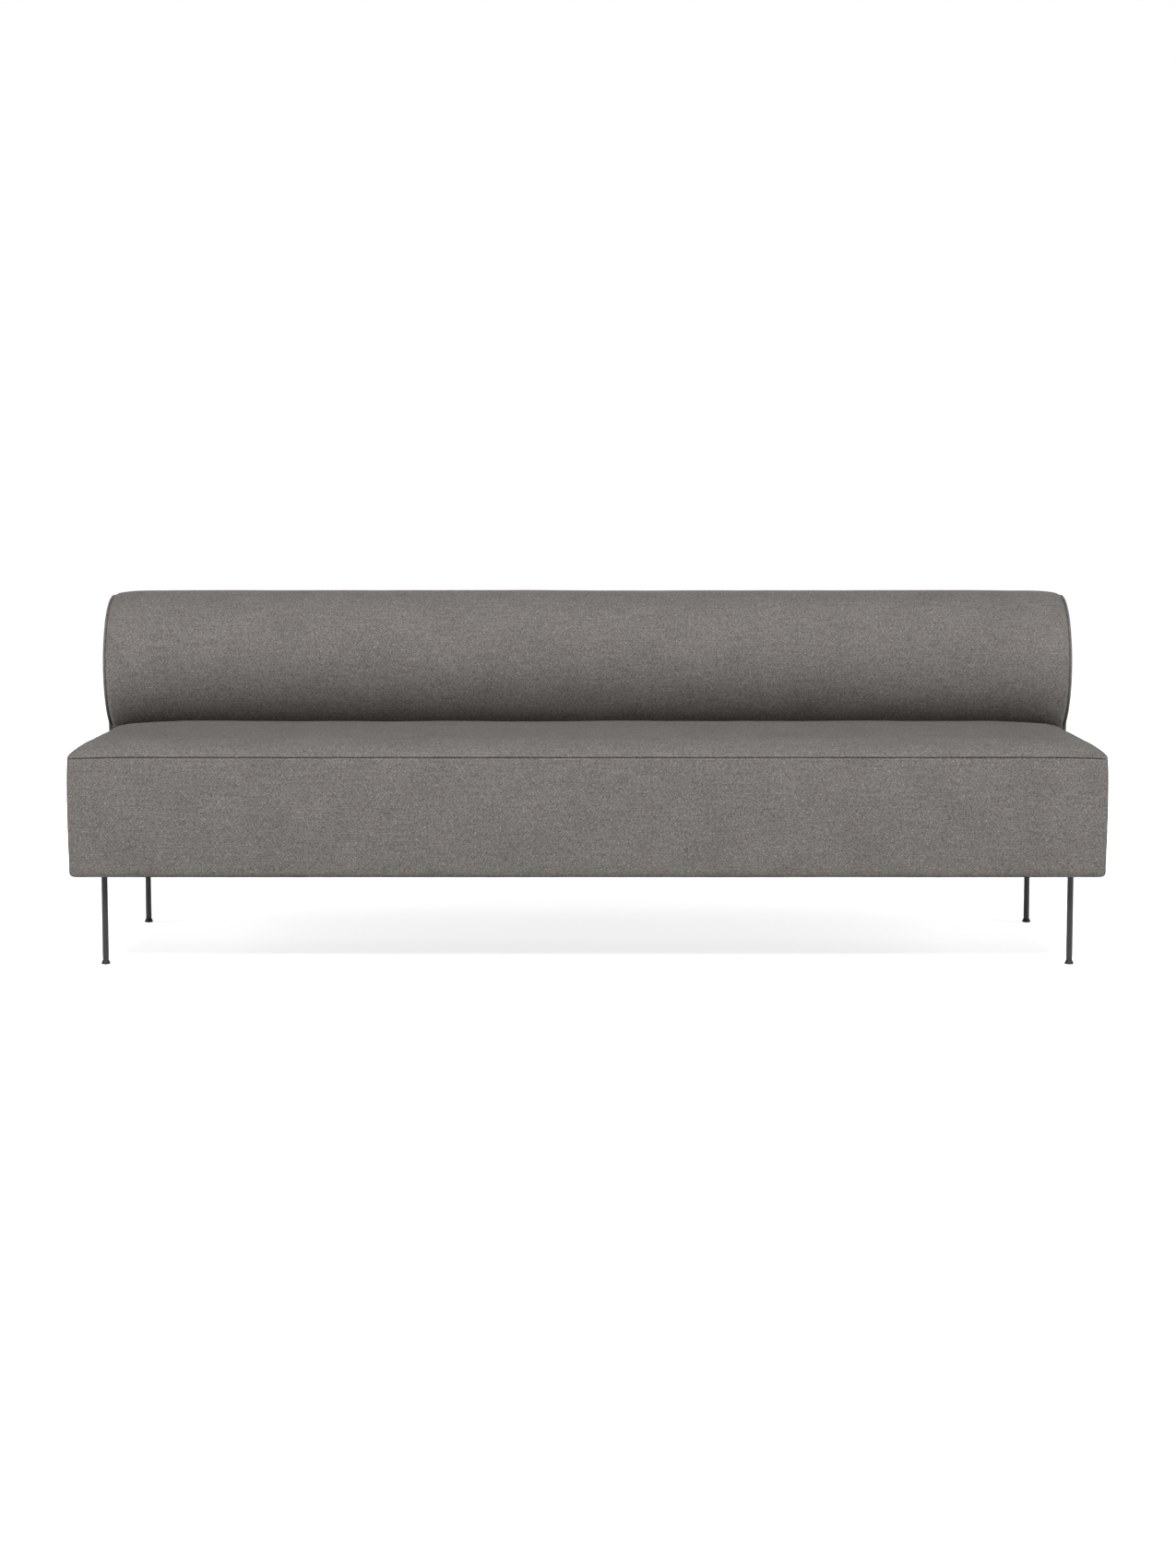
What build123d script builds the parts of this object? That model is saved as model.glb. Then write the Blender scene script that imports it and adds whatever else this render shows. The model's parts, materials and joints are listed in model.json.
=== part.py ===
from build123d import *

import os
from math import atan2, cos, pi, radians, sin, sqrt

# Armless dining sofa: an upholstered box seat on four thin steel legs, with a long roll for a back.
#
# Frame: +X to the right of someone who faces the sofa, +Y to the back, +Z up. The origin is on the
# floor, under the middle of the seat. Millimetres. Each separate piece goes to a STEP file of its own.

# ---- Seat, as seen from outside ---------------------------------------------------------------
SEAT_WIDTH = 2000.0
SEAT_DEPTH = 660.0
SEAT_UNDERSIDE = 177.0  # floor to the underside of the cover
BORDER_HEIGHT = 233.0  # underside to the seam round the top
EDGE_RISE = 30.0  # how far the top rises over the padded edge
EDGE_REACH = 62.0  # how far in from the seam that edge reaches
EDGE_SLOPE_START = 30.0  # degrees round the edge's ellipse at which the seam lies
CROWN_RISE = 5.0  # slow rise from there to the level middle
LEVEL_MIDDLE = 200.0  # front-to-rear width of that
WALL_BULGE = 2.0  # how far the middle of a border stands out past its edges
CORNER_RADIUS = 13.0
HEM_RADIUS = 9.0  # the cover's turn under the frame
HEM_WIDTH = 34.0

# ---- Back roll, a P in cross-section: a round front and top, a flat rear and a narrow foot ------
ROLL_RADIUS = 154.0
ROLL_HEIGHT = 301.0  # seam round the seat's top to the top of the roll
ROLL_FRONT_TO_REAR = 248.0
NECK_DEPTH = 178.0  # front to rear of the foot of the P
REAR_CORNER_RADIUS = 62.0
NECK_FILLET_RADIUS = 12.0
BACK_END_INSET = 5.0  # from the seat's side to the end seam of the roll
DRAW_IN = 7.0  # how much the end seam pulls the roll in over a long stretch
DRAW_IN_LENGTH = 75.0
TURN_RADIUS = 12.0  # the cover's turn into the end seam
TURN_ANGLE = 60.0
FLAT_SHARE = 0.3  # the flat faces are drawn in by this share of what the round is
END_CROWN = 5.0  # how far an end panel stands out past its edge
END_CROWN_REACH = 40.0
END_CROWN_START = 20.0  # degrees round the crown's ellipse at which its edge lies

# ---- Covers and padding -----------------------------------------------------------------------
COVER_THICKNESS = 2.0
PIPING_RADIUS = 2.5
SEWING_GAP = 0.2  # between the pieces that are sewn together in a seam
WADDING_THICKNESS = 8.0
RAIL_PADDING = 9.5  # foam on the outside of the rails
ROLL_FOAM = 43.0
BACK_FLAT_FOAM = 9.5
END_PLUG_THICKNESS = 8.0
LAYER_GAP = 0.5  # between a soft layer and what it lies on
CREASE_GAP = 0.4  # between the seat's soft layers and the back's cover
DUST_COVER_THICKNESS = 1.0
DUST_COVER_MARGIN = 16.0

# ---- Timber frame -----------------------------------------------------------------------------
RAIL_THICKNESS = 22.0
RAIL_HEIGHT = 138.0
CROSS_RAIL_COUNT = 3
CROSS_RAIL_DROP = 34.0  # room for the webbing to sag into
LEDGER_WIDTH = 25.0  # strip along the middle rail that the webbing is stapled to
LEDGER_HEIGHT = 25.0
DECK_THICKNESS = 18.0
BASE_THICKNESS = 18.0
CORNER_BLOCK_SIZE = 80.0
CORNER_BLOCK_HEIGHT = 50.0
RIB_THICKNESS = 18.0
RIB_COUNT = 5
RIB_HOLE_DIAMETER = 90.0
BATTEN_WIDTH = 44.0
BATTEN_THICKNESS = 20.0
BATTEN_ANGLES = (84.0, 132.0, 180.0)  # round the roll, from its top to its front
BOARD_THICKNESS = 6.0
NECK_BOARD_HEIGHT = 36.0

# ---- Webbing ----------------------------------------------------------------------------------
BELT_WIDTH = 60.0
BELT_THICKNESS = 1.6
CROSS_BELT_COUNT = 14
LONG_BELT_COUNT = 3
BELT_LAP = 18.0  # how far a belt lies on the rail it is stapled to
CROSSING_MARGIN = 2.0  # how far a belt runs level past the one that it crosses

# ---- Legs, plates and levelling feet ------------------------------------------------------------
LEG_DIAMETER = 12.0
LEG_INSET = 59.0  # leg's axis to the seat's faces
LEG_STUD_DIAMETER = 8.0
LEG_STUD_LENGTH = 22.0
PLATE_SIZE = 46.0
PLATE_THICKNESS = 4.0
PLATE_CORNER_RADIUS = 5.0
LEG_NUT_WIDTH = 13.0  # across flats
LEG_NUT_HEIGHT = 12.0
SCREW_DIAMETER = 4.0
SCREW_HEAD_DIAMETER = 7.5
SCREW_LENGTH = 25.0
SCREW_PITCH = 32.0
FOOT_DIAMETER = 17.5
FOOT_RIM_HEIGHT = 3.0
FOOT_HEIGHT = 8.6
FOOT_STUD_DIAMETER = 6.0
FOOT_STUD_LENGTH = 16.0
PAD_DIAMETER = 14.0
PAD_THICKNESS = 2.0
PAD_PROUD = 0.8  # how far the pad stands below the foot
THREAD_CLEARANCE = 0.1  # radial, also round a pad and a screw
FOOT_GAP = 0.3  # between a foot that is screwed home and its leg

# ---- Bolts that hold the back to the seat -------------------------------------------------------
BOLT_DIAMETER = 8.0
BOLT_HEAD_WIDTH = 13.0  # across flats
BOLT_HEAD_HEIGHT = 5.3
WASHER_DIAMETER = 24.0
WASHER_THICKNESS = 2.0
TEE_NUT_BARREL_DIAMETER = 11.0
TEE_NUT_BARREL_LENGTH = 12.0
TEE_NUT_FLANGE_DIAMETER = 22.0
TEE_NUT_FLANGE_THICKNESS = 1.5
HOLE_CLEARANCE = 0.5  # radial, and past the end of what goes in

# ---- Places that follow from the sizes ----------------------------------------------------------
half_width = SEAT_WIDTH / 2
half_depth = SEAT_DEPTH / 2
seam_z = SEAT_UNDERSIDE + BORDER_HEIGHT
rear_y = half_depth - WALL_BULGE
neck_y = rear_y - NECK_DEPTH
roll_y = rear_y - ROLL_FRONT_TO_REAR + ROLL_RADIUS
roll_top = seam_z + ROLL_HEIGHT
roll_z = roll_top - ROLL_RADIUS
back_end_x = half_width - BACK_END_INSET
turn_length = TURN_RADIUS * sin(radians(TURN_ANGLE))

lining = COVER_THICKNESS + LAYER_GAP  # from the outer face to the face of the padding
rail_inset = WALL_BULGE + lining + RAIL_PADDING
rail_bottom = SEAT_UNDERSIDE + COVER_THICKNESS
rail_top = rail_bottom + RAIL_HEIGHT
rail_x = half_width - rail_inset
rail_y = half_depth - rail_inset
rail_inner_x = rail_x - RAIL_THICKNESS
rail_inner_y = rail_y - RAIL_THICKNESS
deck_bottom = seam_z - DECK_THICKNESS
deck_front = neck_y + LAYER_GAP
ledger_front = deck_front - LEDGER_WIDTH
webbing_top = rail_top + 2 * BELT_THICKNESS + LAYER_GAP
block_bottom = rail_bottom + PLATE_THICKNESS

base_top = seam_z + BASE_THICKNESS
core_roll_inset = lining + ROLL_FOAM
core_flat_inset = lining + BACK_FLAT_FOAM
core_end_x = back_end_x - lining - END_PLUG_THICKNESS
core_rear = rear_y - core_flat_inset
core_neck = neck_y + core_flat_inset
rib_reach = core_end_x - RIB_THICKNESS / 2
rib_places = [rib_reach * (2 * i / (RIB_COUNT - 1) - 1) for i in range(RIB_COUNT)]
bay = rib_places[1] - rib_places[0]
bolt_places = [x + share * bay for x in rib_places[:-1] for share in (0.25, 0.75)]
bolt_y = (core_rear + core_neck) / 2

leg_x = half_width - LEG_INSET
leg_y = half_depth - LEG_INSET
leg_bottom = FOOT_HEIGHT + FOOT_GAP
CORNERS = {
    "front_left": (-leg_x, -leg_y),
    "front_right": (leg_x, -leg_y),
    "rear_left": (-leg_x, leg_y),
    "rear_right": (leg_x, leg_y),
}
FAR = 2 * (SEAT_WIDTH + SEAT_DEPTH + roll_top)  # larger than the sofa, for cutting
EVERYWHERE = (-FAR, FAR)


def block(x, y, z):
    """A box from its limits along each axis."""
    sizes = [high - low for low, high in (x, y, z)]
    middle = [(high + low) / 2 for low, high in (x, y, z)]
    return Pos(*middle) * Box(*sizes)


def rod(diameter, bottom, top, place):
    """An upright cylinder from bottom to top, with its axis at place."""
    return Pos(*place, (bottom + top) / 2) * Cylinder(diameter / 2, top - bottom)


def hexagon(width, bottom, top, place):
    """An upright hexagonal bar, width across its flats."""
    outline = Pos(*place, bottom) * RegularPolygon(width / 2, 6, major_radius=False)
    return extrude(outline, top - bottom)


def group(solids):
    """Identical pieces that stay separate solids."""
    return Compound(list(solids))


# ---- The seat's outer form ----------------------------------------------------------------------
def seat_section(inset, z, radius):
    """The seat's plan, drawn in by inset, at height z."""
    width, depth = SEAT_WIDTH - 2 * inset, SEAT_DEPTH - 2 * inset
    return Pos(0, 0, z) * RectangleRounded(width, depth, radius)


def seat_form(skin):
    """The seat block with every face moved in by skin: a rolled hem, bulging borders, a crowned top."""
    low = SEAT_UNDERSIDE + skin
    turn = max(HEM_RADIUS - skin, 1.0)
    edge = WALL_BULGE + skin
    corner = max(CORNER_RADIUS - skin, 1.0)
    hem = [
        seat_section(edge + turn * (1 - sin(a)), low + turn * (1 - cos(a)), corner)
        for a in (0, pi / 4, pi / 2)
    ]
    borders = [
        seat_section(edge, low + turn, corner),
        seat_section(skin, (low + turn + seam_z) / 2, corner),
        seat_section(edge, seam_z, corner),
    ]
    start = radians(EDGE_SLOPE_START)
    reach, rise = EDGE_REACH - skin, EDGE_RISE - skin
    top_edge = []
    for step in range(5):
        a = start + (pi / 2 - start) * step / 4
        run = reach * (1 - cos(a) / cos(start))
        climb = rise * (sin(a) - sin(start)) / (1 - sin(start))
        top_edge.append(seat_section(edge + run, seam_z + climb, corner + run))
    crown_reach = half_depth - LEVEL_MIDDLE / 2 - edge - reach
    crown = []
    for share in (0, 0.5, 1):
        inset = edge + reach + share * crown_reach
        climb = rise + CROWN_RISE * share * (2 - share)
        crown.append(seat_section(inset, seam_z + climb, corner + reach))
    return loft(hem) + loft(borders) + loft(top_edge) + loft(crown)


def mitre(direction):
    """The wedge of space in front of, behind or beside the seat, split at its corners."""
    out_x, out_y, point = half_width + half_depth, 2 * half_depth, half_width - half_depth
    if direction in ("front", "rear"):
        way = -1 if direction == "front" else 1
        outline = [(-out_x, way * out_y), (out_x, way * out_y), (point, 0), (-point, 0)]
    else:
        way = -1 if direction == "left" else 1
        outline = [(way * out_x, -out_y), (way * out_x, out_y), (way * point, 0)]
    return extrude(make_face(Polyline(*outline, close=True)), FAR, both=True)


# ---- The back's outer form ----------------------------------------------------------------------
def back_outline(roll_inset, flat_inset, x, foot_z=seam_z):
    """The edges of the P at x, from its rear foot over the top to its front foot."""
    radius = ROLL_RADIUS - roll_inset
    rear, neck = rear_y - flat_inset, neck_y + flat_inset
    corner = min(max(REAR_CORNER_RADIUS - roll_inset, 3.0), 0.9 * radius)
    corner_y = rear - corner
    corner_z = roll_z + sqrt((radius - corner) ** 2 - (corner_y - roll_y) ** 2)
    start = atan2(corner_z - roll_z, corner_y - roll_y)

    hollow = NECK_FILLET_RADIUS
    hollow_y = neck - hollow
    hollow_z = roll_z - sqrt((radius + hollow) ** 2 - (hollow_y - roll_y) ** 2)
    end = atan2(hollow_z - roll_z, hollow_y - roll_y) + 2 * pi

    def on_circle(centre_y, centre_z, circle_radius, angle):
        return (x, centre_y + circle_radius * cos(angle), centre_z + circle_radius * sin(angle))

    rear_turn = [on_circle(corner_y, corner_z, corner, start * i / 2) for i in range(3)]
    roll = [on_circle(roll_y, roll_z, radius, start + (end - start) * i / 6) for i in range(7)]
    neck_turn = [on_circle(hollow_y, hollow_z, hollow, (end - pi) * (1 - i / 2)) for i in range(3)]
    return [
        Line((x, rear, foot_z), rear_turn[0]),
        ThreePointArc(*rear_turn),
        ThreePointArc(*roll[0:3]),
        ThreePointArc(*roll[2:5]),
        ThreePointArc(*roll[4:7]),
        ThreePointArc(*neck_turn),
        Line(neck_turn[2], (x, neck, foot_z)),
    ]


def back_section(roll_inset, flat_inset, x, foot_z=seam_z):
    """The P at x, closed across its foot."""
    edges = back_outline(roll_inset, flat_inset, x, foot_z)
    return Face(Wire([*edges, Line(edges[-1] @ 1, edges[0] @ 0)]))


def drawn_in(distance):
    """How far the roll is drawn in at a distance from its end seam."""
    past_turn = max(turn_length - distance, 0)
    slow = DRAW_IN * (1 - distance / DRAW_IN_LENGTH) ** 3
    return slow + TURN_RADIUS - sqrt(TURN_RADIUS**2 - past_turn**2)


def back_form(skin, overrun=0.0):
    """The back between its end seams, with every face moved in by skin and drawn in at both ends.

    Overrun lengthens it past the end seams.
    """
    slow = [turn_length + (DRAW_IN_LENGTH - turn_length) * share for share in (1, 0.7, 0.42, 0.18, 0)]
    turn = [turn_length - TURN_RADIUS * sin(radians(TURN_ANGLE) * i / 3) for i in range(4)]

    def section(way, distance):
        draw = drawn_in(distance)
        return back_section(skin + draw, skin + FLAT_SHARE * draw, way * (back_end_x - distance))

    straight = back_end_x - DRAW_IN_LENGTH
    form = extrude(back_section(skin, skin, -straight), amount=2 * straight, dir=(1, 0, 0))
    for way in (-1, 1):
        form += loft([section(way, distance) for distance in slow])
        form += loft([section(way, distance) for distance in turn])
        if overrun:
            form += extrude(section(way, 0), amount=overrun, dir=(way, 0, 0))
    return form


def end_pillow(way, skin):
    """The crowned end of the back, outside the end seam, with its face moved in by skin."""
    start = radians(END_CROWN_START)
    sections = []
    for step in range(4):
        a = start + (pi / 2 - start) * step / 3
        run = END_CROWN_REACH * (1 - cos(a) / cos(start))
        climb = END_CROWN * (sin(a) - sin(start)) / (1 - sin(start))
        inset = skin + run + drawn_in(0)
        flat_inset = skin + run + FLAT_SHARE * drawn_in(0)
        sections.append(back_section(inset, flat_inset, way * (back_end_x - skin + climb)))
    return loft(sections)


def core_slab(x, foot_z, gap=0.0):
    """The timber part of the back between two places along it, with a gap round it."""
    section = back_section(core_roll_inset - gap, core_flat_inset - gap, x[0], foot_z)
    return extrude(section, amount=x[1] - x[0], dir=(1, 0, 0))


# ---- Seat: timber frame -------------------------------------------------------------------------
def rails():
    """Front, rear and side rails on edge, and the rail under the front of the back."""
    low, high = (rail_bottom, rail_top), (rail_bottom, deck_bottom)
    pieces = {
        "front_rail": block((-rail_x, rail_x), (-rail_y, -rail_inner_y), low),
        "rear_rail": block((-rail_x, rail_x), (rail_inner_y, rail_y), high),
        "middle_rail": block(
            (-rail_inner_x, rail_inner_x), (deck_front, deck_front + RAIL_THICKNESS), high
        ),
    }
    for name, way in (("left_rail", -1), ("right_rail", 1)):
        across = sorted((way * rail_inner_x, way * rail_x))
        raised = block(across, (deck_front, rail_inner_y), high)
        pieces[name] = block(across, (-rail_inner_y, rail_inner_y), low) + raised
    return pieces


def webbing_ledger():
    """The strip along the front of the middle rail, level with the rails' top."""
    return block(
        (-rail_inner_x, rail_inner_x), (ledger_front, deck_front), (rail_top - LEDGER_HEIGHT, rail_top)
    )


def cross_rails():
    """Rails from the front rail to the middle rail, low enough for the webbing to sag."""
    pitch = 2 * rail_inner_x / (CROSS_RAIL_COUNT + 1)
    top = rail_top - max(CROSS_RAIL_DROP, LEDGER_HEIGHT)
    half = RAIL_THICKNESS / 2
    for i in range(CROSS_RAIL_COUNT):
        x = -rail_inner_x + pitch * (i + 1)
        yield block((x - half, x + half), (-rail_inner_y, deck_front), (rail_bottom, top))


def screw_places(corner):
    """Axes of one plate's four screws."""
    x, y = corner
    half = SCREW_PITCH / 2
    return [(x + i * half, y + j * half) for i in (-1, 1) for j in (-1, 1)]


def corner_blocks():
    """A glued block in each corner, cut off on its inner side, with holes for nut, stud and screws."""
    for x, y in CORNERS.values():
        way_x, way_y = (1 if x > 0 else -1), (1 if y > 0 else -1)

        def from_corner(along_x, along_y):
            return (way_x * (rail_inner_x - along_x), way_y * (rail_inner_y - along_y))

        size, cut = CORNER_BLOCK_SIZE, CORNER_BLOCK_SIZE / 2
        outline = [
            from_corner(0, 0),
            from_corner(size, 0),
            from_corner(size, cut),
            from_corner(cut, size),
            from_corner(0, size),
        ]
        face = make_face(Polyline(*outline, close=True))
        blank = Pos(0, 0, block_bottom) * extrude(face, CORNER_BLOCK_HEIGHT, dir=(0, 0, 1))
        stud_top = rail_bottom + LEG_STUD_LENGTH + HOLE_CLEARANCE
        nut_hole = 2 * LEG_NUT_WIDTH / sqrt(3) + 2 * HOLE_CLEARANCE
        blank -= rod(nut_hole, block_bottom, stud_top, (x, y))
        for place in screw_places((x, y)):
            pilot_top = rail_bottom + SCREW_LENGTH + HOLE_CLEARANCE
            blank -= rod(SCREW_DIAMETER + 2 * THREAD_CLEARANCE, block_bottom, pilot_top, place)
        yield blank


def deck():
    """The board that the back stands on, drilled for its bolts."""
    board = block((-rail_x, rail_x), (deck_front, rail_y), (deck_bottom, seam_z))
    for x in bolt_places:
        board -= rod(BOLT_DIAMETER + 2 * HOLE_CLEARANCE, deck_bottom, seam_z, (x, bolt_y))
    return board


# ---- Seat: webbing ------------------------------------------------------------------------------
def belt_profile(ends, crossings):
    """The edge-on outline of a belt that lies level over or under each belt that it crosses.

    Crossings holds a (place, over) pair for each of those.
    """
    level = BELT_WIDTH / 2 + CROSSING_MARGIN
    line = [(ends[0] - BELT_LAP, rail_top), (ends[0], rail_top)]
    for place, over in crossings:
        height = rail_top + (BELT_THICKNESS + LAYER_GAP if over else 0)
        line += [(place - level, height), (place + level, height)]
    line += [(ends[1], rail_top), (ends[1] + BELT_LAP, rail_top)]
    upper = [(u, z + BELT_THICKNESS) for u, z in reversed(line)]
    return make_face(Polyline(*line, *upper, close=True))


def belt_places(low, high, count):
    """Centre lines of count belts, evenly spread between two rails."""
    return [low + (high - low) * (i + 1) / (count + 1) for i in range(count)]


def belts():
    """Cross belts from front to rear, and long belts from side to side, woven together."""
    cross_x = belt_places(-rail_inner_x, rail_inner_x, CROSS_BELT_COUNT)
    long_y = belt_places(-rail_inner_y, ledger_front, LONG_BELT_COUNT)
    cross, long = [], []
    for i, x in enumerate(cross_x):
        crossings = [(y, (i + j) % 2 == 0) for j, y in enumerate(long_y)]
        outline = Plane.YZ * belt_profile((-rail_inner_y, ledger_front), crossings)
        cross.append(Pos(x, 0, 0) * extrude(outline, BELT_WIDTH / 2, both=True))
    for j, y in enumerate(long_y):
        crossings = [(x, (i + j) % 2 == 1) for i, x in enumerate(cross_x)]
        outline = Plane.XZ * belt_profile((-rail_inner_x, rail_inner_x), crossings)
        long.append(Pos(0, y, 0) * extrude(outline, BELT_WIDTH / 2, both=True))
    return cross, long


# ---- Seat: padding and cover --------------------------------------------------------------------
def back_space(clearance):
    """What the back and the deck take of the seat's soft layers."""
    above = block(EVERYWHERE, (neck_y - clearance, FAR), (deck_bottom, FAR))
    below = block(EVERYWHERE, (deck_front - clearance, FAR), (-FAR, deck_bottom))
    return above + below + back_form(-clearance, overrun=2 * BACK_END_INSET)


def rail_padding():
    """Thin foam on the outside of the rails and of the deck, in four strips."""
    low = block(EVERYWHERE, EVERYWHERE, (rail_bottom, rail_top))
    raised = block(EVERYWHERE, (deck_front, FAR), (rail_top, seam_z))
    frame = block((-rail_x, rail_x), (-rail_y, rail_y), EVERYWHERE)
    ring = seat_form(lining) & (low + raised) - frame
    return {f"rail_padding_{side}": ring & mitre(side) for side in ("front", "rear", "left", "right")}


def seat_foam(space):
    """The foam block on the webbing, crowned like the seat."""
    form = seat_form(lining + WADDING_THICKNESS + LAYER_GAP)
    return (form & block(EVERYWHERE, EVERYWHERE, (webbing_top + LAYER_GAP, FAR))) - space


def seat_wadding(space):
    """Wadding over the foam and down its sides to the rails."""
    layer = seat_form(lining) - seat_form(lining + WADDING_THICKNESS)
    return (layer & block(EVERYWHERE, EVERYWHERE, (rail_top + LAYER_GAP, FAR))) - space


def seat_cover(space):
    """The seat's cover: four borders that turn under the frame, and a top sewn to them."""
    shell = seat_form(0) - seat_form(COVER_THICKNESS)
    hem_x, hem_y = half_width - HEM_WIDTH, half_depth - HEM_WIDTH
    shell -= block((-hem_x, hem_x), (-hem_y, hem_y), (-FAR, rail_top))
    borders = shell & block(EVERYWHERE, EVERYWHERE, (-FAR, seam_z))
    panels = {f"{side}_panel": borders & mitre(side) for side in ("front", "rear", "left", "right")}
    panels["top_panel"] = (shell & block(EVERYWHERE, EVERYWHERE, (seam_z, FAR))) - space
    return panels


def dust_cover():
    """The thin cloth under the frame, with a hole round each leg."""
    half_x, half_y = half_width - DUST_COVER_MARGIN, half_depth - DUST_COVER_MARGIN
    bottom = SEAT_UNDERSIDE - DUST_COVER_THICKNESS
    cloth = block((-half_x, half_x), (-half_y, half_y), (bottom, SEAT_UNDERSIDE))
    for corner in CORNERS.values():
        cloth -= rod(LEG_DIAMETER + 2 * HOLE_CLEARANCE, bottom, SEAT_UNDERSIDE, corner)
    return cloth


# ---- Legs and feet ------------------------------------------------------------------------------
def countersunk(diameter, head_diameter, place):
    """A wood screw, head down and flush with the rails' underside."""
    head_height = (head_diameter - diameter) / 2
    head = Pos(*place, rail_bottom + head_height / 2) * Cone(head_diameter / 2, diameter / 2, head_height)
    tip_bottom = rail_bottom + SCREW_LENGTH - diameter
    tip = Pos(*place, tip_bottom + diameter / 2) * Cone(diameter / 2, diameter / 8, diameter)
    return head + rod(diameter, rail_bottom + head_height, tip_bottom, place) + tip


def leg_plate(corner):
    """A steel plate with a hole for the leg's stud and four countersunk screw holes."""
    outline = Pos(*corner, rail_bottom) * RectangleRounded(PLATE_SIZE, PLATE_SIZE, PLATE_CORNER_RADIUS)
    plate = extrude(outline, PLATE_THICKNESS)
    plate -= rod(LEG_STUD_DIAMETER + 2 * HOLE_CLEARANCE, rail_bottom, block_bottom, corner)
    for place in screw_places(corner):
        room = 2 * THREAD_CLEARANCE
        plate -= countersunk(SCREW_DIAMETER + room, SCREW_HEAD_DIAMETER + room, place)
    return plate


def leg_nut(corner):
    """The nut welded on top of a plate."""
    nut_top = block_bottom + LEG_NUT_HEIGHT
    nut = hexagon(LEG_NUT_WIDTH, block_bottom, nut_top, corner)
    return nut - rod(LEG_STUD_DIAMETER + 2 * THREAD_CLEARANCE, block_bottom, nut_top, corner)


def leg(corner):
    """A steel rod with a stud on top and a threaded hole for its levelling foot."""
    shaft = rod(LEG_DIAMETER, leg_bottom, rail_bottom, corner)
    shaft += rod(LEG_STUD_DIAMETER, rail_bottom, rail_bottom + LEG_STUD_LENGTH, corner)
    hole_top = FOOT_HEIGHT + FOOT_STUD_LENGTH + HOLE_CLEARANCE
    return shaft - rod(FOOT_STUD_DIAMETER + 2 * THREAD_CLEARANCE, leg_bottom, hole_top, corner)


def foot(corner):
    """A levelling foot: a disc that narrows to the leg, on a stud, hollow below for its pad."""
    pad_room = PAD_DIAMETER / 2 + THREAD_CLEARANCE
    outline = [
        (0, PAD_THICKNESS),
        (pad_room, PAD_THICKNESS),
        (pad_room, PAD_PROUD),
        (FOOT_DIAMETER / 2, PAD_PROUD),
        (FOOT_DIAMETER / 2, FOOT_RIM_HEIGHT),
        (LEG_DIAMETER / 2, FOOT_HEIGHT),
        (FOOT_STUD_DIAMETER / 2, FOOT_HEIGHT),
        (FOOT_STUD_DIAMETER / 2, FOOT_HEIGHT + FOOT_STUD_LENGTH),
        (0, FOOT_HEIGHT + FOOT_STUD_LENGTH),
    ]
    profile = Plane.XZ * make_face(Polyline(*outline, close=True))
    return Pos(*corner, 0) * revolve(profile, Axis.Z)


# ---- Back: frame and fixings --------------------------------------------------------------------
def base_board():
    """The back's base, drilled for the tee nuts."""
    board = block((-core_end_x, core_end_x), (core_neck, core_rear), (seam_z, base_top))
    for x in bolt_places:
        board -= rod(TEE_NUT_BARREL_DIAMETER + 2 * THREAD_CLEARANCE, seam_z, base_top, (x, bolt_y))
    return board


def back_boards():
    """Thin boards let into the ribs' flat edges."""
    length = (-core_end_x, core_end_x)
    return {
        "rear_board": block(length, (core_rear - BOARD_THICKNESS, core_rear), (base_top, roll_z)),
        "neck_board": block(
            length, (core_neck, core_neck + BOARD_THICKNESS), (base_top, base_top + NECK_BOARD_HEIGHT)
        ),
    }


def batten(angle, outer=None):
    """A batten let into the ribs, with its outer corners on the round of the timber.

    Outer is the radius of its outer face, where that is another, as for its notch.
    """
    face = sqrt((ROLL_RADIUS - core_roll_inset) ** 2 - (BATTEN_WIDTH / 2) ** 2)
    inner, outer = face - BATTEN_THICKNESS, outer or face
    bar = Pos(0, (inner + outer) / 2, 0) * Box(2 * core_end_x, outer - inner, BATTEN_WIDTH)
    return Pos(0, roll_y, roll_z) * Rot(angle, 0, 0) * bar


def ribs(let_in):
    """P-shaped ribs, cut out for the pieces that are let in, each with a lightening hole."""
    hole = Pos(0, roll_y, roll_z) * Rot(0, 90, 0) * Cylinder(RIB_HOLE_DIAMETER / 2, FAR)
    half = RIB_THICKNESS / 2
    for x in rib_places:
        rib = core_slab((x - half, x + half), base_top) - hole
        for piece in let_in:
            rib -= piece
        yield rib


def tee_nut(x):
    """A flange on the base, with a threaded barrel in it."""
    place = (x, bolt_y)
    low, high = base_top - TEE_NUT_BARREL_LENGTH, base_top + TEE_NUT_FLANGE_THICKNESS
    nut = rod(TEE_NUT_FLANGE_DIAMETER, base_top, high, place)
    nut += rod(TEE_NUT_BARREL_DIAMETER, low, base_top, place)
    return nut - rod(BOLT_DIAMETER + 2 * THREAD_CLEARANCE, low, high, place)


def washer(x):
    """A washer under the deck."""
    low = deck_bottom - WASHER_THICKNESS
    hole = rod(BOLT_DIAMETER + 2 * THREAD_CLEARANCE, low, deck_bottom, (x, bolt_y))
    return rod(WASHER_DIAMETER, low, deck_bottom, (x, bolt_y)) - hole


def bolt(x):
    """A bolt from under the deck up to the top of its tee nut."""
    shoulder = deck_bottom - WASHER_THICKNESS
    head = hexagon(BOLT_HEAD_WIDTH, shoulder - BOLT_HEAD_HEIGHT, shoulder, (x, bolt_y))
    return head + rod(BOLT_DIAMETER, shoulder, base_top + TEE_NUT_FLANGE_THICKNESS, (x, bolt_y))


# ---- Back: padding and cover --------------------------------------------------------------------
def beyond(way, x):
    """All space past x towards one end."""
    return block(sorted((way * x, way * FAR)), EVERYWHERE, EVERYWHERE)


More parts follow.
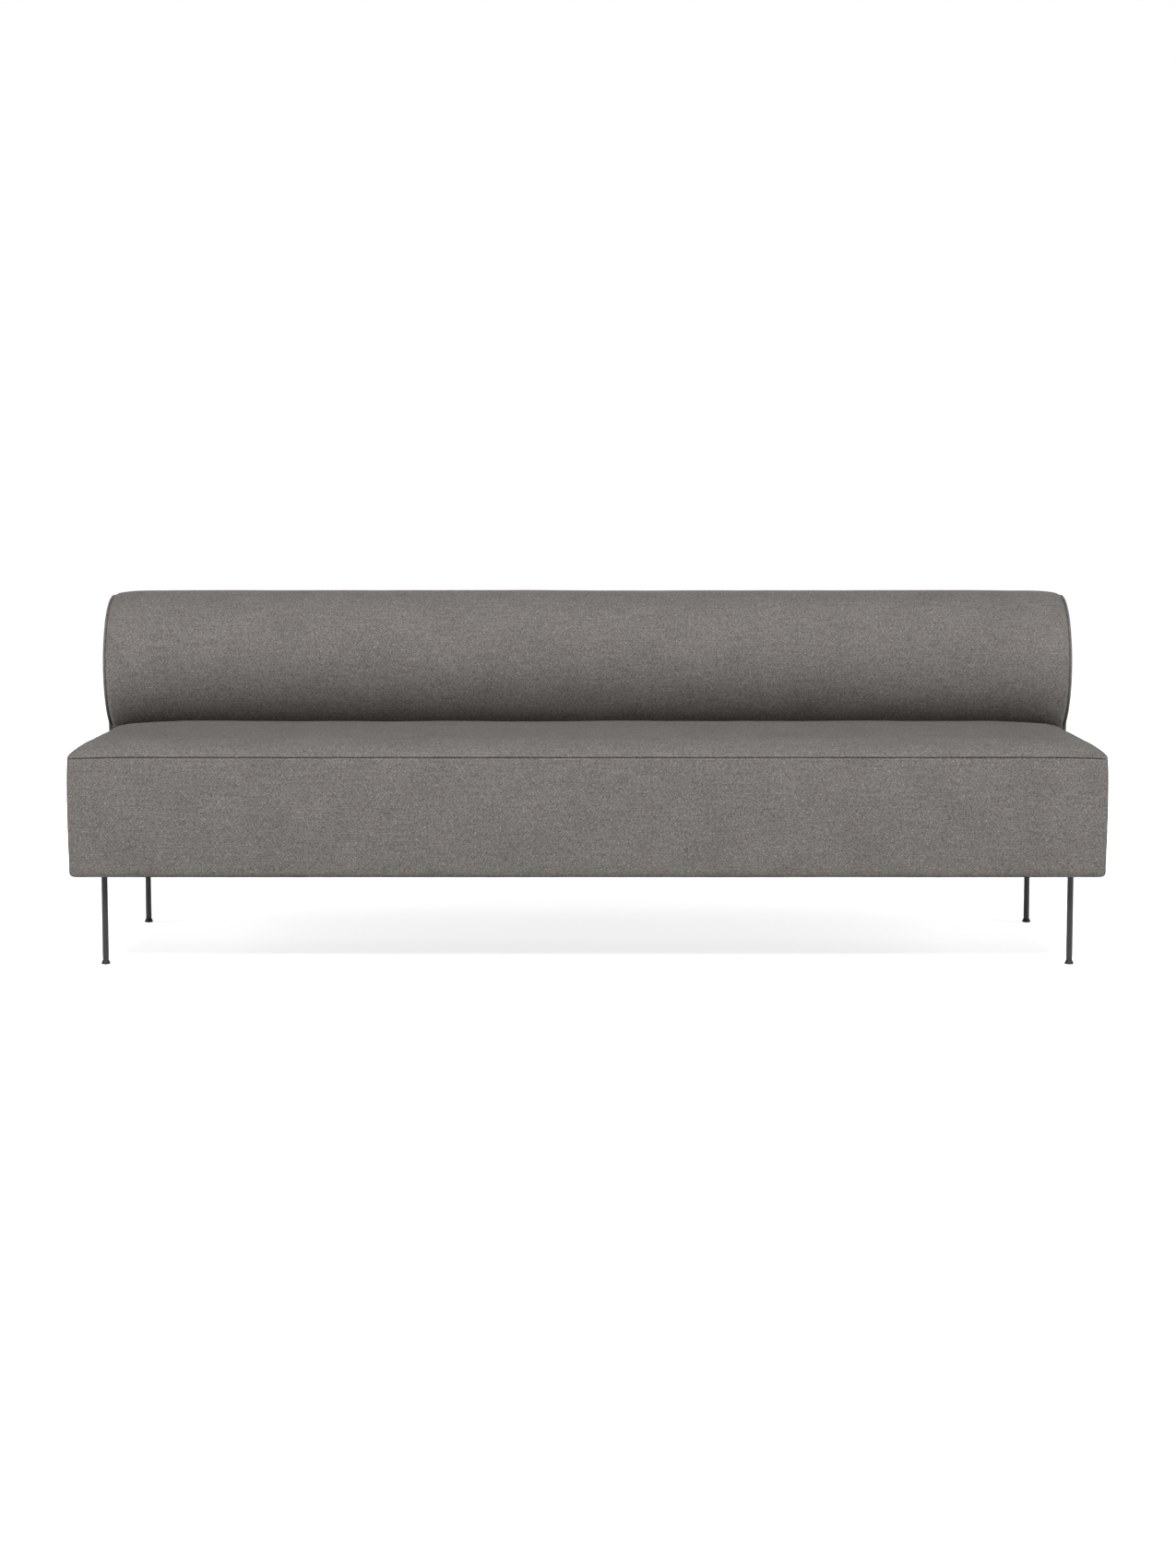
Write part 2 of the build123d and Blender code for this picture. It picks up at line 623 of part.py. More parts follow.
def back_foam():
    """Foam wrapped round the timber, thick on the roll and thin on the flat faces."""
    form = back_form(lining) & block((-core_end_x, core_end_x), EVERYWHERE, EVERYWHERE)
    return form - core_slab(EVERYWHERE, seam_z - LAYER_GAP, gap=LAYER_GAP / 2)


def end_plug(way):
    """A foam pad over the end of the timber and of the foam, crowned like the end panel."""
    inner = core_end_x + LAYER_GAP / 2
    pad = (back_form(lining) & beyond(way, inner)) - beyond(way, back_end_x - lining)
    return pad + end_pillow(way, lining)


def end_panel(way):
    """The cover's end panel, stretched over the plug."""
    rim = back_form(COVER_THICKNESS + SEWING_GAP) & beyond(way, back_end_x - COVER_THICKNESS)
    return rim + end_pillow(way, 0) - end_pillow(way, COVER_THICKNESS)


def piping(way):
    """The cover's cord round the end seam, from the seat's rear over the roll to the seat's top."""
    offset = (PIPING_RADIUS + SEWING_GAP) / sqrt(2)
    draw = drawn_in(0)
    x = way * (back_end_x + offset)
    path = Wire(back_outline(draw - offset, FLAT_SHARE * draw - offset, x, seam_z + SEWING_GAP))
    start = Plane(origin=path @ 0, z_dir=path % 0)
    cord = sweep(start * Circle(PIPING_RADIUS), path=path)
    in_front = block(EVERYWHERE, (-FAR, neck_y + REAR_CORNER_RADIUS), EVERYWHERE)
    return cord - (seat_form(-CREASE_GAP) & in_front)


def build():
    """Every piece by name."""
    pieces = rails()
    pieces["webbing_ledger"] = webbing_ledger()
    pieces["cross_rails"] = group(cross_rails())
    pieces["corner_blocks"] = group(corner_blocks())
    pieces["deck"] = deck()
    cross, long = belts()
    pieces["cross_belts"] = group(cross)
    pieces["long_belts"] = group(long)

    space = back_space(CREASE_GAP)
    pieces.update(rail_padding())
    pieces["seat_foam"] = seat_foam(space)
    pieces["seat_wadding"] = seat_wadding(space)
    pieces.update(seat_cover(space))
    pieces["dust_cover"] = dust_cover()

    for name, corner in CORNERS.items():
        pieces[f"leg_{name}"] = leg(corner)
        pieces[f"foot_{name}"] = foot(corner)
        pieces[f"pad_{name}"] = rod(PAD_DIAMETER, 0, PAD_THICKNESS, corner)
    pieces["leg_plates"] = group(leg_plate(corner) for corner in CORNERS.values())
    pieces["leg_nuts"] = group(leg_nut(corner) for corner in CORNERS.values())
    pieces["plate_screws"] = group(
        countersunk(SCREW_DIAMETER, SCREW_HEAD_DIAMETER, place)
        for corner in CORNERS.values()
        for place in screw_places(corner)
    )

    notches = [batten(angle, outer=ROLL_RADIUS) for angle in BATTEN_ANGLES]
    boards = back_boards()
    pieces["base_board"] = base_board()
    pieces["battens"] = group(batten(angle) for angle in BATTEN_ANGLES)
    pieces.update(boards)
    pieces["ribs"] = group(ribs([*notches, *boards.values()]))
    pieces["tee_nuts"] = group(tee_nut(x) for x in bolt_places)
    pieces["back_washers"] = group(washer(x) for x in bolt_places)
    pieces["back_bolts"] = group(bolt(x) for x in bolt_places)
    pieces["back_foam"] = back_foam()
    pieces["back_panel"] = back_form(0) - back_form(COVER_THICKNESS, overrun=BACK_END_INSET)
    for side, way in (("left", -1), ("right", 1)):
        pieces[f"end_plug_{side}"] = end_plug(way)
        pieces[f"end_panel_{side}"] = end_panel(way)
        pieces[f"piping_{side}"] = piping(way)
    return pieces


os.makedirs("parts", exist_ok=True)
for name, shape in build().items():
    export_step(shape, f"parts/{name}.step")
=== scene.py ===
"""Armless sofa: the visual model that dresses the CAD frame.

Everything is in metres, in the CAD frame: +X to the right of someone who faces the sofa, +Y to the
back and +Z up, with the origin on the floor under the middle of the seat.
"""

import json
import logging
import math
from dataclasses import dataclass, field
from enum import Enum
from functools import cache, partial
from itertools import product
from typing import Callable, Iterable, Mapping, Sequence

import bmesh
import bpy
import numpy as np
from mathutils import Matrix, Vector, noise

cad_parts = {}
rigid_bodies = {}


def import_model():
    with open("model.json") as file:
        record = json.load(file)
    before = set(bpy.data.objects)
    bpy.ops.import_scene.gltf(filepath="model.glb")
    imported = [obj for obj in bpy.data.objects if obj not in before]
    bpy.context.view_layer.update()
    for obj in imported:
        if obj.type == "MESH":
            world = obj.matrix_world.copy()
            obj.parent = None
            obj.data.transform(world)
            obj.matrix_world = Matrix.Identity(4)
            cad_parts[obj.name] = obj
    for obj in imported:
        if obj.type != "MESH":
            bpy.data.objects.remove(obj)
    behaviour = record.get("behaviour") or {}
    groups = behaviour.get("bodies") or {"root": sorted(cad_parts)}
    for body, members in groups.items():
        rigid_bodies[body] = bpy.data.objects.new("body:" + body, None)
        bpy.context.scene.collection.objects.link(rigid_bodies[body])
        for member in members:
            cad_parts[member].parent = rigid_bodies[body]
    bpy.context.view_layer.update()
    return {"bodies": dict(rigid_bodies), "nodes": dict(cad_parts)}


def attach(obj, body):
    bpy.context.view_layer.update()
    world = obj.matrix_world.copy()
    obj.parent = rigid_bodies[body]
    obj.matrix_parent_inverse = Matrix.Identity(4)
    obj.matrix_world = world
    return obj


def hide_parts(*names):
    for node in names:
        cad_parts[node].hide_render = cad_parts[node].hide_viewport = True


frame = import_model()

log = logging.getLogger("armless_sofa")

Add = Callable[..., bpy.types.NodeSocket]  # add_node for one tree
Sockets = dict[str, object]

WEAVE_MAP = "weave"  # UV map in metres of cloth
# The seam attribute drives painted shade: the upholstery is drawn darker in each seam's groove.
SEAM = "seam"  # point attribute: metres of cloth to the nearest sewn edge
NO_SEAM = 1.0
WELD = 0.00005  # points nearer to each other than this are one


class Side(Enum):
    """A side of the seat: the directions along it and outwards, in plan."""

    FRONT = ((1.0, 0.0), (0.0, -1.0))
    RIGHT = ((0.0, 1.0), (1.0, 0.0))
    REAR = ((-1.0, 0.0), (0.0, 1.0))
    LEFT = ((0.0, -1.0), (-1.0, 0.0))

    def place(self, along: np.ndarray, out: np.ndarray) -> tuple[np.ndarray, np.ndarray]:
        """Turns distances along this side and outwards into x and y."""
        (ax, ay), (ox, oy) = self.value
        return along * ax + out * ox, along * ay + out * oy


class End(Enum):
    """An end of the back."""

    LEFT = -1
    RIGHT = 1


class Axis(Enum):
    """A direction through a board or along a bar."""

    X = 0
    Y = 1
    Z = 2


# ---- Nodes and colours --------------------------------------------------------------------------
def linear(colour: str) -> tuple[float, float, float, float]:
    """Turns an sRGB hex colour into linear RGBA.

    Args:
        colour: six hex digits, such as "7a7571".

    Returns:
        The linear colour, opaque.
    """
    levels = [int(colour[i : i + 2], 16) / 255 for i in (0, 2, 4)]
    curve = [c / 12.92 if c <= 0.04045 else ((c + 0.055) / 1.055) ** 2.4 for c in levels]
    return (curve[0], curve[1], curve[2], 1.0)


def add_node(
    tree: bpy.types.NodeTree,
    kind: str,
    inputs: Mapping[str | int, object] | None = None,
    out: str | int = 0,
    **settings: object,
) -> bpy.types.NodeSocket | None:
    """Adds a node, with its settings, values and links.

    Args:
        tree: the tree that it goes in.
        kind: its type's name without "ShaderNode".
        inputs: for a socket's name or number, its value or the socket that it is linked from.
        out: the output that is wanted.
        settings: the node's own settings.

    Returns:
        That output, or None from a node that ends the tree.
    """
    made = tree.nodes.new(f"ShaderNode{kind}")
    for name, value in settings.items():
        setattr(made, name, value)
    for name, value in (inputs or {}).items():
        if isinstance(value, bpy.types.NodeSocket):
            tree.links.new(value, made.inputs[name])
        else:
            made.inputs[name].default_value = value
    return made.outputs[out] if made.outputs else None


def empty_tree(owner: bpy.types.Material | bpy.types.World) -> Add:
    """Empties the node tree of a material or world.

    Args:
        owner: the material or world.

    Returns:
        add_node for that tree.
    """
    owner.use_nodes = True
    owner.node_tree.nodes.clear()
    return partial(add_node, owner.node_tree)


# ---- Finishes -----------------------------------------------------------------------------------
@dataclass(frozen=True)
class Finish:
    """A surface: its name and how it takes light. Each kind paints its own pattern."""

    name: str
    roughness: float = 0.5

    def paint(self, add: Add) -> Sockets:
        """Adds the pattern's nodes.

        Args:
            add: adds a node to the material.

        Returns:
            The links and values for the shader's sockets.
        """
        return {}

    def in_relief(self, add: Add, colour: object, height: object, strength: float, depth: float) -> Sockets:
        """A colour over a fine relief.

        Args:
            add: adds a node to the material.
            colour: the colour.
            height: the relief.
            strength: how much of it shows.
            depth: its depth in metres.

        Returns:
            The links for the shader's sockets.
        """
        bump = add("Bump", {"Strength": strength, "Distance": depth, "Height": height})
        return {"Base Color": colour, "Normal": bump}

    @cache
    def material(self) -> bpy.types.Material:
        """Makes the material once and returns it."""
        made = bpy.data.materials.new(self.name)
        add = empty_tree(made)
        surface = add("BsdfPrincipled", {"Roughness": self.roughness} | self.paint(add))
        add("OutputMaterial", {"Surface": surface})
        return made

    def dress(self, piece: bpy.types.Object) -> None:
        """Gives the finish to every slot of a piece."""
        if not piece.material_slots:
            piece.data.materials.append(self.material())
        for slot in piece.material_slots:
            slot.link = "OBJECT"
            slot.material = self.material()


@dataclass(frozen=True)
class WovenUpholstery(Finish):
    """Melange wool and polyester cloth in a herringbone twill, yarn-dyed and piece-finished.

    The eye gets a grey-brown ground of mixed dark and light fibres, pale flecks, faint streaks along
    the weft and a soft nap that kills all gloss.
    """

    name: str = "woven_upholstery"
    roughness: float = 0.92
    thread: float = 0.0018  # the photo's diagonals are about 5 mm apart, at 45 degrees four threads
    dark: str = "565250"
    light: str = "96928e"
    fleck: str = "c6c0b8"
    herringbone: int = 10  # ends before the twill turns
    slub: float = 0.6  # changes of tone for each thread passed

    def paint(self, add: Add) -> Sockets:
        """Adds the weave, its fibres, its streaks, and painted shade in its hollows and along its seams."""
        cloth = add("UVMap", uv_map=WEAVE_MAP)
        count = 1 / self.thread
        drift = add("TexNoise", {"Vector": cloth, "Scale": 60.0, "Detail": 1.0}, "Color")
        drift = add("VectorMath", {0: drift, "Scale": 0.9}, operation="SCALE")
        threads = add("VectorMath", {0: cloth, 1: (count, count, 0.0), 2: drift}, operation="MULTIPLY_ADD")
        split = add("SeparateXYZ", {0: threads}).node
        across, along = split.outputs["X"], split.outputs["Y"]
        warp_number = add("Math", {0: across}, operation="FLOOR")
        weft_number = add("Math", {0: along}, operation="FLOOR")

        # Twill: each float passes two threads, and the steps turn back after a few ends.
        turn = add("Math", {0: warp_number, 1: float(self.herringbone)}, operation="PINGPONG")
        step = add("Math", {0: along, 1: turn}, operation="ADD")
        step = add("Math", {0: step, 1: 4.0}, operation="FLOORED_MODULO")
        warp_over = add("Math", {0: step, 1: 2.0}, operation="LESS_THAN")
        warp_round = add("Math", {0: across, 1: 0.5}, operation="PINGPONG")
        weft_round = add("Math", {0: along, 1: 0.5}, operation="PINGPONG")
        warp_float = add("Math", {0: step, 1: 1.0}, operation="PINGPONG")
        warp_float = add("MapRange", {"Value": warp_float, "To Min": 0.45})
        warp_round = add("Math", {0: warp_round, 1: warp_float}, operation="MULTIPLY")
        relief = add("Mix", {0: warp_over, 2: weft_round, 3: warp_round})
        relief = add("MapRange", {"Value": relief, "From Max": 0.42}, interpolation_type="SMOOTHSTEP")

        # Fibres: each thread changes tone along its length, and not with its neighbours.
        warp_thread = add("CombineXYZ", {"X": warp_number, "Y": along, "Z": 3.0})
        weft_thread = add("CombineXYZ", {"X": weft_number, "Y": across, "Z": 8.0})
        thread = add("Mix", {0: warp_over, 4: weft_thread, 5: warp_thread}, 1, data_type="VECTOR")
        thread = add("VectorMath", {0: thread, 1: (7.37, self.slub, 1.0)}, operation="MULTIPLY")
        fibre = add("TexNoise", {"Vector": thread, "Scale": 1.0, "Detail": 3.0})
        mixed = add("MapRange", {"Value": fibre, "From Min": 0.3, "From Max": 0.7})
        tones = {6: linear(self.dark), 7: linear(self.light)}
        colour = add("Mix", {0: mixed} | tones, 2, data_type="RGBA")
        flecks = add("MapRange", {"Value": fibre, "From Min": 0.66, "From Max": 0.76, "To Max": 0.8})
        colour = add("Mix", {0: flecks, 6: colour, 7: linear(self.fleck)}, 2, data_type="RGBA")

        # Streaks of a thicker weft, slow mottling of the dye, and painted shade in the weave's hollows and
        # along the seams.
        streaks = add("VectorMath", {0: cloth, 1: (12.0, 430.0, 1.0)}, operation="MULTIPLY")
        streaks = add("TexNoise", {"Vector": streaks, "Scale": 1.0, "Detail": 2.0})
        mottle = add("TexNoise", {"Vector": cloth, "Scale": 9.0, "Detail": 3.0})
        # Painted shade in each seam's groove: the cloth darkens to 0.78 of its tone within 3 mm of a sewn
        # edge.
        seam = add("Attribute", out="Fac", attribute_name=SEAM)
        seam = {"Value": seam, "From Max": 0.003, "To Min": 0.78}
        level = add("MapRange", seam, interpolation_type="SMOOTHSTEP")
        # The relief term is painted shade: it darkens the hollows between threads to 0.42 and lightens their
        # crowns to 1.24.
        spreads = ((streaks, 0.74, 1.26), (mottle, 0.86, 1.14), (warp_over, 0.88, 1.12), (relief, 0.42, 1.24))
        for pattern, low, high in spreads:
            part = add("MapRange", {"Value": pattern, "To Min": low, "To Max": high})
            level = add("Math", {0: level, 1: part}, operation="MULTIPLY")
        colour = add("HueSaturation", {"Value": level, "Color": colour})

        nap = add("TexNoise", {"Vector": cloth, "Scale": 1500.0, "Detail": 1.0})
        relief = add("Mix", {0: 0.25, 2: relief, 3: nap})
        sheen = {"Specular IOR Level": 0.05, "Sheen Weight": 0.02, "Sheen Roughness": 0.6}
        return self.in_relief(add, colour, relief, 0.4, 0.0006) | sheen


@dataclass(frozen=True)
class SpunbondCloth(Finish):
    """Black spunbond polypropylene, point-bonded: matt, with a grid of small pressed dots."""

    name: str = "spunbond_dust_cloth"
    roughness: float = 0.85
    colour: str = "252525"
    dots: float = 0.0024  # bond points are 1.2 mm apart, drawn at twice that

    def paint(self, add: Add) -> Sockets:
        """Adds the bond points and the loose fibres between them."""
        cloth = add("UVMap", uv_map=WEAVE_MAP)
        points = add("TexVoronoi", {"Vector": cloth, "Scale": 1 / self.dots, "Randomness": 0.15})
        points = add("MapRange", {"Value": points, "From Min": 0.1, "From Max": 0.45})
        fibres = {"Vector": cloth, "Scale": 420.0, "Detail": 5.0, "Distortion": 2.5}
        height = add("Mix", {0: 0.35, 2: points, 3: add("TexNoise", fibres)})
        level = add("MapRange", {"Value": height, "To Min": 0.6, "To Max": 1.5})
        colour = add("HueSaturation", {"Value": level, "Color": linear(self.colour)})
        return self.in_relief(add, colour, height, 0.5, 0.0004)


@dataclass(frozen=True)
class ElasticWebbing(Finish):
    """Rubber-cored polypropylene webbing: black, ribbed across, with a pale stripe near each edge."""

    name: str = "elastic_webbing"
    roughness: float = 0.75
    ground: str = "2b2a29"
    stripe: str = "b9b2a2"
    rib: float = 0.003  # weft ribs

    def paint(self, add: Add) -> Sockets:
        """Adds the ribs and the stripes. The map's V runs across a belt from its middle."""
        split = add("SeparateXYZ", {0: add("UVMap", uv_map=WEAVE_MAP)}).node
        ribs = add("Math", {0: split.outputs["X"], 1: self.rib / 2}, operation="PINGPONG")
        ribs = add("MapRange", {"Value": ribs, "From Max": self.rib / 2})
        across = add("Math", {0: split.outputs["Y"]}, operation="ABSOLUTE")
        stripe = add("Math", {0: across, 1: 0.019, 2: 0.0025}, operation="COMPARE")
        tones = {6: linear(self.ground), 7: linear(self.stripe)}
        colour = add("Mix", {0: stripe} | tones, 2, data_type="RGBA")
        level = add("MapRange", {"Value": ribs, "To Min": 0.6, "To Max": 1.15})
        colour = add("HueSaturation", {"Value": level, "Color": colour})
        return self.in_relief(add, colour, ribs, 0.6, 0.0006)


@dataclass(frozen=True)
class BirchPlywood(Finish):
    """Birch plywood, sawn and sanded: pale figured faces, and edges of light and dark plies."""

    name: str = "birch_plywood"
    roughness: float = 0.6
    through: Axis = Axis.Z  # the direction through its plies
    ply: float = 0.0028  # a pair of plies, rotary-cut at 1.4 mm
    pale: str = "d9bf95"
    dark: str = "a87c4d"

    def paint(self, add: Add) -> Sockets:
        """Adds the plies on the edges and the rotary-cut figure on the faces."""
        space = add("TexCoord", out="Object")
        normal = add("TexCoord", out="Normal")
        thick = add("SeparateXYZ", {0: space}).node.outputs[self.through.value]
        facing = add("SeparateXYZ", {0: normal}).node.outputs[self.through.value]
        facing = add("Math", {0: facing}, operation="ABSOLUTE")
        face = add("Math", {0: facing, 1: 0.7}, operation="GREATER_THAN")
        plies = add("Math", {0: thick, 1: self.ply / 2}, operation="PINGPONG")
        plies = add("MapRange", {"Value": plies, "From Min": 0.0006, "From Max": 0.0008})
        stretch = [7.0, 7.0, 7.0]
        stretch[(self.through.value + 1) % 3] = 0.7
        grain = add("VectorMath", {0: space, 1: tuple(stretch)}, operation="MULTIPLY")
        figure = add("TexNoise", {"Vector": grain, "Scale": 3.0, "Detail": 6.0, "Distortion": 1.6})
        pores = add("VectorMath", {0: grain, "Scale": 40.0}, operation="SCALE")
        pores = add("TexNoise", {"Vector": pores, "Scale": 2.0, "Detail": 2.0})
        figure = add("Mix", {0: 0.3, 2: figure, 3: pores})
        figure = add("MapRange", {"Value": figure, "From Min": 0.35, "From Max": 0.7, "To Max": 0.6})
        tone = add("Mix", {0: face, 2: plies, 3: figure})
        tones = {6: linear(self.pale), 7: linear(self.dark)}
        colour = add("Mix", {0: tone} | tones, 2, data_type="RGBA")
        return self.in_relief(add, colour, tone, 0.25, 0.0004)


@dataclass(frozen=True)
class PlanedSpruce(Finish):
    """Spruce, sawn and planed: straight growth rings of pale early and amber late wood."""

    name: str = "planed_spruce"
    roughness: float = 0.65
    along: Axis = Axis.X
    ring: float = 0.045  # width of the figure where the saw cut the growth rings aslant
    unit: float = 0.314  # spacing of a wave texture's rings at a scale of 1
    early: str = "e3cb9f"
    late: str = "b98a55"

    def paint(self, add: Add) -> Sockets:
        """Adds the rings, drawn out along the bar, and fine fibre lines."""
        stretch = [1.0, 1.0, 1.0]
        stretch[self.along.value] = 0.03
        space = add("TexCoord", out="Object")
        grain = add("VectorMath", {0: space, 1: tuple(stretch)}, operation="MULTIPLY")
        rings = add(
            "TexWave",
            {"Vector": grain, "Scale": self.unit / self.ring, "Distortion": 5.0, "Detail": 3.0},
            "Fac",
            wave_type="RINGS",
            wave_profile="SAW",
            rings_direction="SPHERICAL",
        )
        fibres = add("TexNoise", {"Vector": grain, "Scale": 900.0, "Detail": 2.0})
        tone = add("Mix", {0: 0.3, 2: rings, 3: fibres})
        tone = add("MapRange", {"Value": tone, "From Min": 0.25, "From Max": 0.9})
        tones = {6: linear(self.early), 7: linear(self.late)}
        colour = add("Mix", {0: tone} | tones, 2, data_type="RGBA")
        return self.in_relief(add, colour, tone, 0.25, 0.0003)


@dataclass(frozen=True)
class Hardboard(Finish):
    """Wet-pressed wood fibre board: brown and matt, with short matted fibres and darker clumps."""

    name: str = "pressed_hardboard"
    roughness: float = 0.7
    pale: str = "9c7750"
    dark: str = "6b4a2e"

    def paint(self, add: Add) -> Sockets:
        """Adds the matted fibres."""
        space = add("TexCoord", out="Object")
        fibres = add("TexNoise", {"Vector": space, "Scale": 260.0, "Detail": 6.0, "Distortion": 3.0})
        clumps = add("TexNoise", {"Vector": space, "Scale": 18.0, "Detail": 3.0})
        tone = add("Mix", {0: 0.4, 2: fibres, 3: clumps})
        tone = add("MapRange", {"Value": tone, "From Min": 0.3, "From Max": 0.7})
        tones = {6: linear(self.pale), 7: linear(self.dark)}
        colour = add("Mix", {0: tone} | tones, 2, data_type="RGBA")
        return self.in_relief(add, colour, fibres, 0.3, 0.0004)


@dataclass(frozen=True)
class PowderCoat(Finish):
    """Polyester powder baked on steel: dark grey, satin, with a fine orange peel.

    Handling leaves it a little smoother in patches, so its highlight is never quite even.
    """

    name: str = "powder_coated_steel"
    roughness: float = 0.58
    colour: str = "29292a"
    peel: float = 0.0016  # orange peel is 0.8 mm across, drawn at twice that

    def paint(self, add: Add) -> Sockets:
        """Adds the orange peel and the handled patches."""
        space = add("TexCoord", out="Object")
        peel = add("TexNoise", {"Vector": space, "Scale": 1 / self.peel, "Detail": 2.0})
        patches = add("TexNoise", {"Vector": space, "Scale": 25.0, "Detail": 3.0})
        gloss = {"To Min": self.roughness - 0.07, "To Max": self.roughness + 0.07}
        gloss = add("MapRange", {"Value": patches, "From Min": 0.3, "From Max": 0.7} | gloss)
        level = add("MapRange", {"Value": patches, "To Min": 0.85, "To Max": 1.15})
        colour = add("HueSaturation", {"Value": level, "Color": linear(self.colour)})
        return self.in_relief(add, colour, peel, 0.2, 0.0002) | {"Roughness": gloss}


@dataclass(frozen=True)
class ZincPlate(Finish):
    """Bright zinc on steel, passivated: a cool grey metal with a faint spangle and dull patches."""

    name: str = "zinc_plated_steel"
    roughness: float = 0.34
    pale: str = "c4c8cc"
    dull: str = "9aa0a3"

    def paint(self, add: Add) -> Sockets:
        """Adds the dull patches, in colour and roughness."""
        space = add("TexCoord", out="Object")
        patches = add("TexNoise", {"Vector": space, "Scale": 160.0, "Detail": 4.0})
        patches = add("MapRange", {"Value": patches, "From Min": 0.35, "From Max": 0.65})
        tones = {6: linear(self.pale), 7: linear(self.dull)}
        colour = add("Mix", {0: patches} | tones, 2, data_type="RGBA")
        gloss = {"To Min": self.roughness - 0.08, "To Max": self.roughness + 0.12}
        gloss = add("MapRange", {"Value": patches} | gloss)
        return {"Base Color": colour, "Roughness": gloss, "Metallic": 1.0}


@dataclass(frozen=True)
class MouldedNylon(Finish):
    """Injection-moulded nylon with a spark-eroded face: matt black, scuffed where it slides."""

    name: str = "moulded_nylon"
    roughness: float = 0.55
    colour: str = "262626"

    def paint(self, add: Add) -> Sockets:
        """Adds the eroded texture and the scuffs."""
        space = add("TexCoord", out="Object")
        pits = add("TexNoise", {"Vector": space, "Scale": 2400.0, "Detail": 2.0})
        scuffs = add("TexNoise", {"Vector": space, "Scale": 350.0, "Detail": 5.0, "Distortion": 1.0})
        level = {"Value": scuffs, "From Min": 0.4, "From Max": 0.75, "To Min": 0.9, "To Max": 1.6}
        level = add("MapRange", level)
        colour = add("HueSaturation", {"Value": level, "Color": linear(self.colour)})
        return self.in_relief(add, colour, pits, 0.3, 0.0001)


# ---- Sewn and padded meshes ---------------------------------------------------------------------
@dataclass(frozen=True)
class Sewing:
    """How a panel's edge turns into its seam."""

    turn: float = 0.0015  # radius at which the cloth folds into the seam
    gap: float = 0.0002  # between the two panels of a seam
    pucker: float = 0.00035
    pucker_length: float = 0.028  # about four stitches
    pucker_reach: float = 0.013
    pucker_start: float = 0.004  # the seam itself stays straight
    wave_lengths: tuple[float, float] = (0.19, 0.07)  # of the padding's slow unevenness
    wave_share: float = 0.4  # the shorter one's height to the longer one's
    wave_start: float = 0.03
    fold_angles: tuple[float, ...] = (90, 58, 28)  # degrees round the fold, from the edge
    fold_ends: tuple[float, ...] = (1.05, 2.2)  # more places past the fold, in radii of it

    def samples(
        self,
        length: float,
        pitch: float,
        first: bool = True,
        last: bool = True,
        close: Sequence[float] = (),
    ) -> tuple[np.ndarray, np.ndarray]:
        """Places along a panel and how far round its fold each one is.

        Args:
            length: the panel's length along its cloth.
            pitch: the spacing of the places away from the edges.
            first: whether its first edge is sewn.
            last: whether its last edge is sewn.
            close: more distances from a sewn edge, where the panel turns over a shoulder.

        Returns:
            The places, and the sine of the fold's angle at each, 0 on the flat and 1 at the edge.
        """
        angles = [math.radians(a) for a in self.fold_angles]
        fold = [(self.gap + self.turn * (1 - math.sin(a)), math.sin(a)) for a in angles]
        fold += [(self.gap + self.turn * s, 0.0) for s in self.fold_ends]
        fold += [(distance, 0.0) for distance in close]
        start = fold if first else [(0.0, 0.0)]
        end = [(length - p, s) for p, s in reversed(fold)] if last else [(length, 0.0)]
        inner = end[0][0] - start[-1][0]
        count = max(int(round(inner / pitch)), 2)
        middle = [(start[-1][0] + inner * i / count, 0.0) for i in range(1, count)]
        both = start + middle + end
        return np.array([p for p, _ in both]), np.array([s for _, s in both])

    def depth(self, rows: np.ndarray, columns: np.ndarray) -> np.ndarray:
        """How far below its face each point of a panel is folded in.

        Args:
            rows: the sine of the fold's angle for each row.
            columns: the same for each column.

        Returns:
            A depth for each row and column.
        """
        square = rows[:, None] ** 2 + columns[None, :] ** 2
        return self.turn * (1 - np.sqrt(np.clip(1 - square, 0, 1)))


def run_lengths(grid: np.ndarray, axis: int) -> np.ndarray:
    """Lengths of cloth from the first row or column of a grid to each of its points.

    Args:
        grid: rows by columns of points.
        axis: 0 to measure down the columns, 1 along the rows.

    Returns:
        A length for each row and column.
    """
    steps = np.linalg.norm(np.diff(grid, axis=axis), axis=2)
    zeros = np.zeros_like(np.take(steps, [0], axis=axis))
    return np.concatenate([zeros, np.cumsum(steps, axis=axis)], axis=axis)


def smooth_noise(points: np.ndarray, size: float, seed: float) -> np.ndarray:
    """Smooth noise from -1 to 1 at each point of a grid.

    Args:
        points: rows by columns of points.
        size: about how far apart its hills are.
        seed: a number that picks one pattern.

    Returns:
        A value for each row and column.
    """
    flat = points.reshape(-1, 3) / size + np.array([seed * 17.3, seed * 5.1, seed * 9.7])
    values = [noise.noise(Vector(p)) for p in flat]
    return np.array(values).reshape(points.shape[:2])


def add_object(name: str, data: bpy.types.ID) -> bpy.types.Object:
    """Puts an object with some data in the scene and returns it."""
    made = bpy.data.objects.new(name, data)
    bpy.context.scene.collection.objects.link(made)
    return made


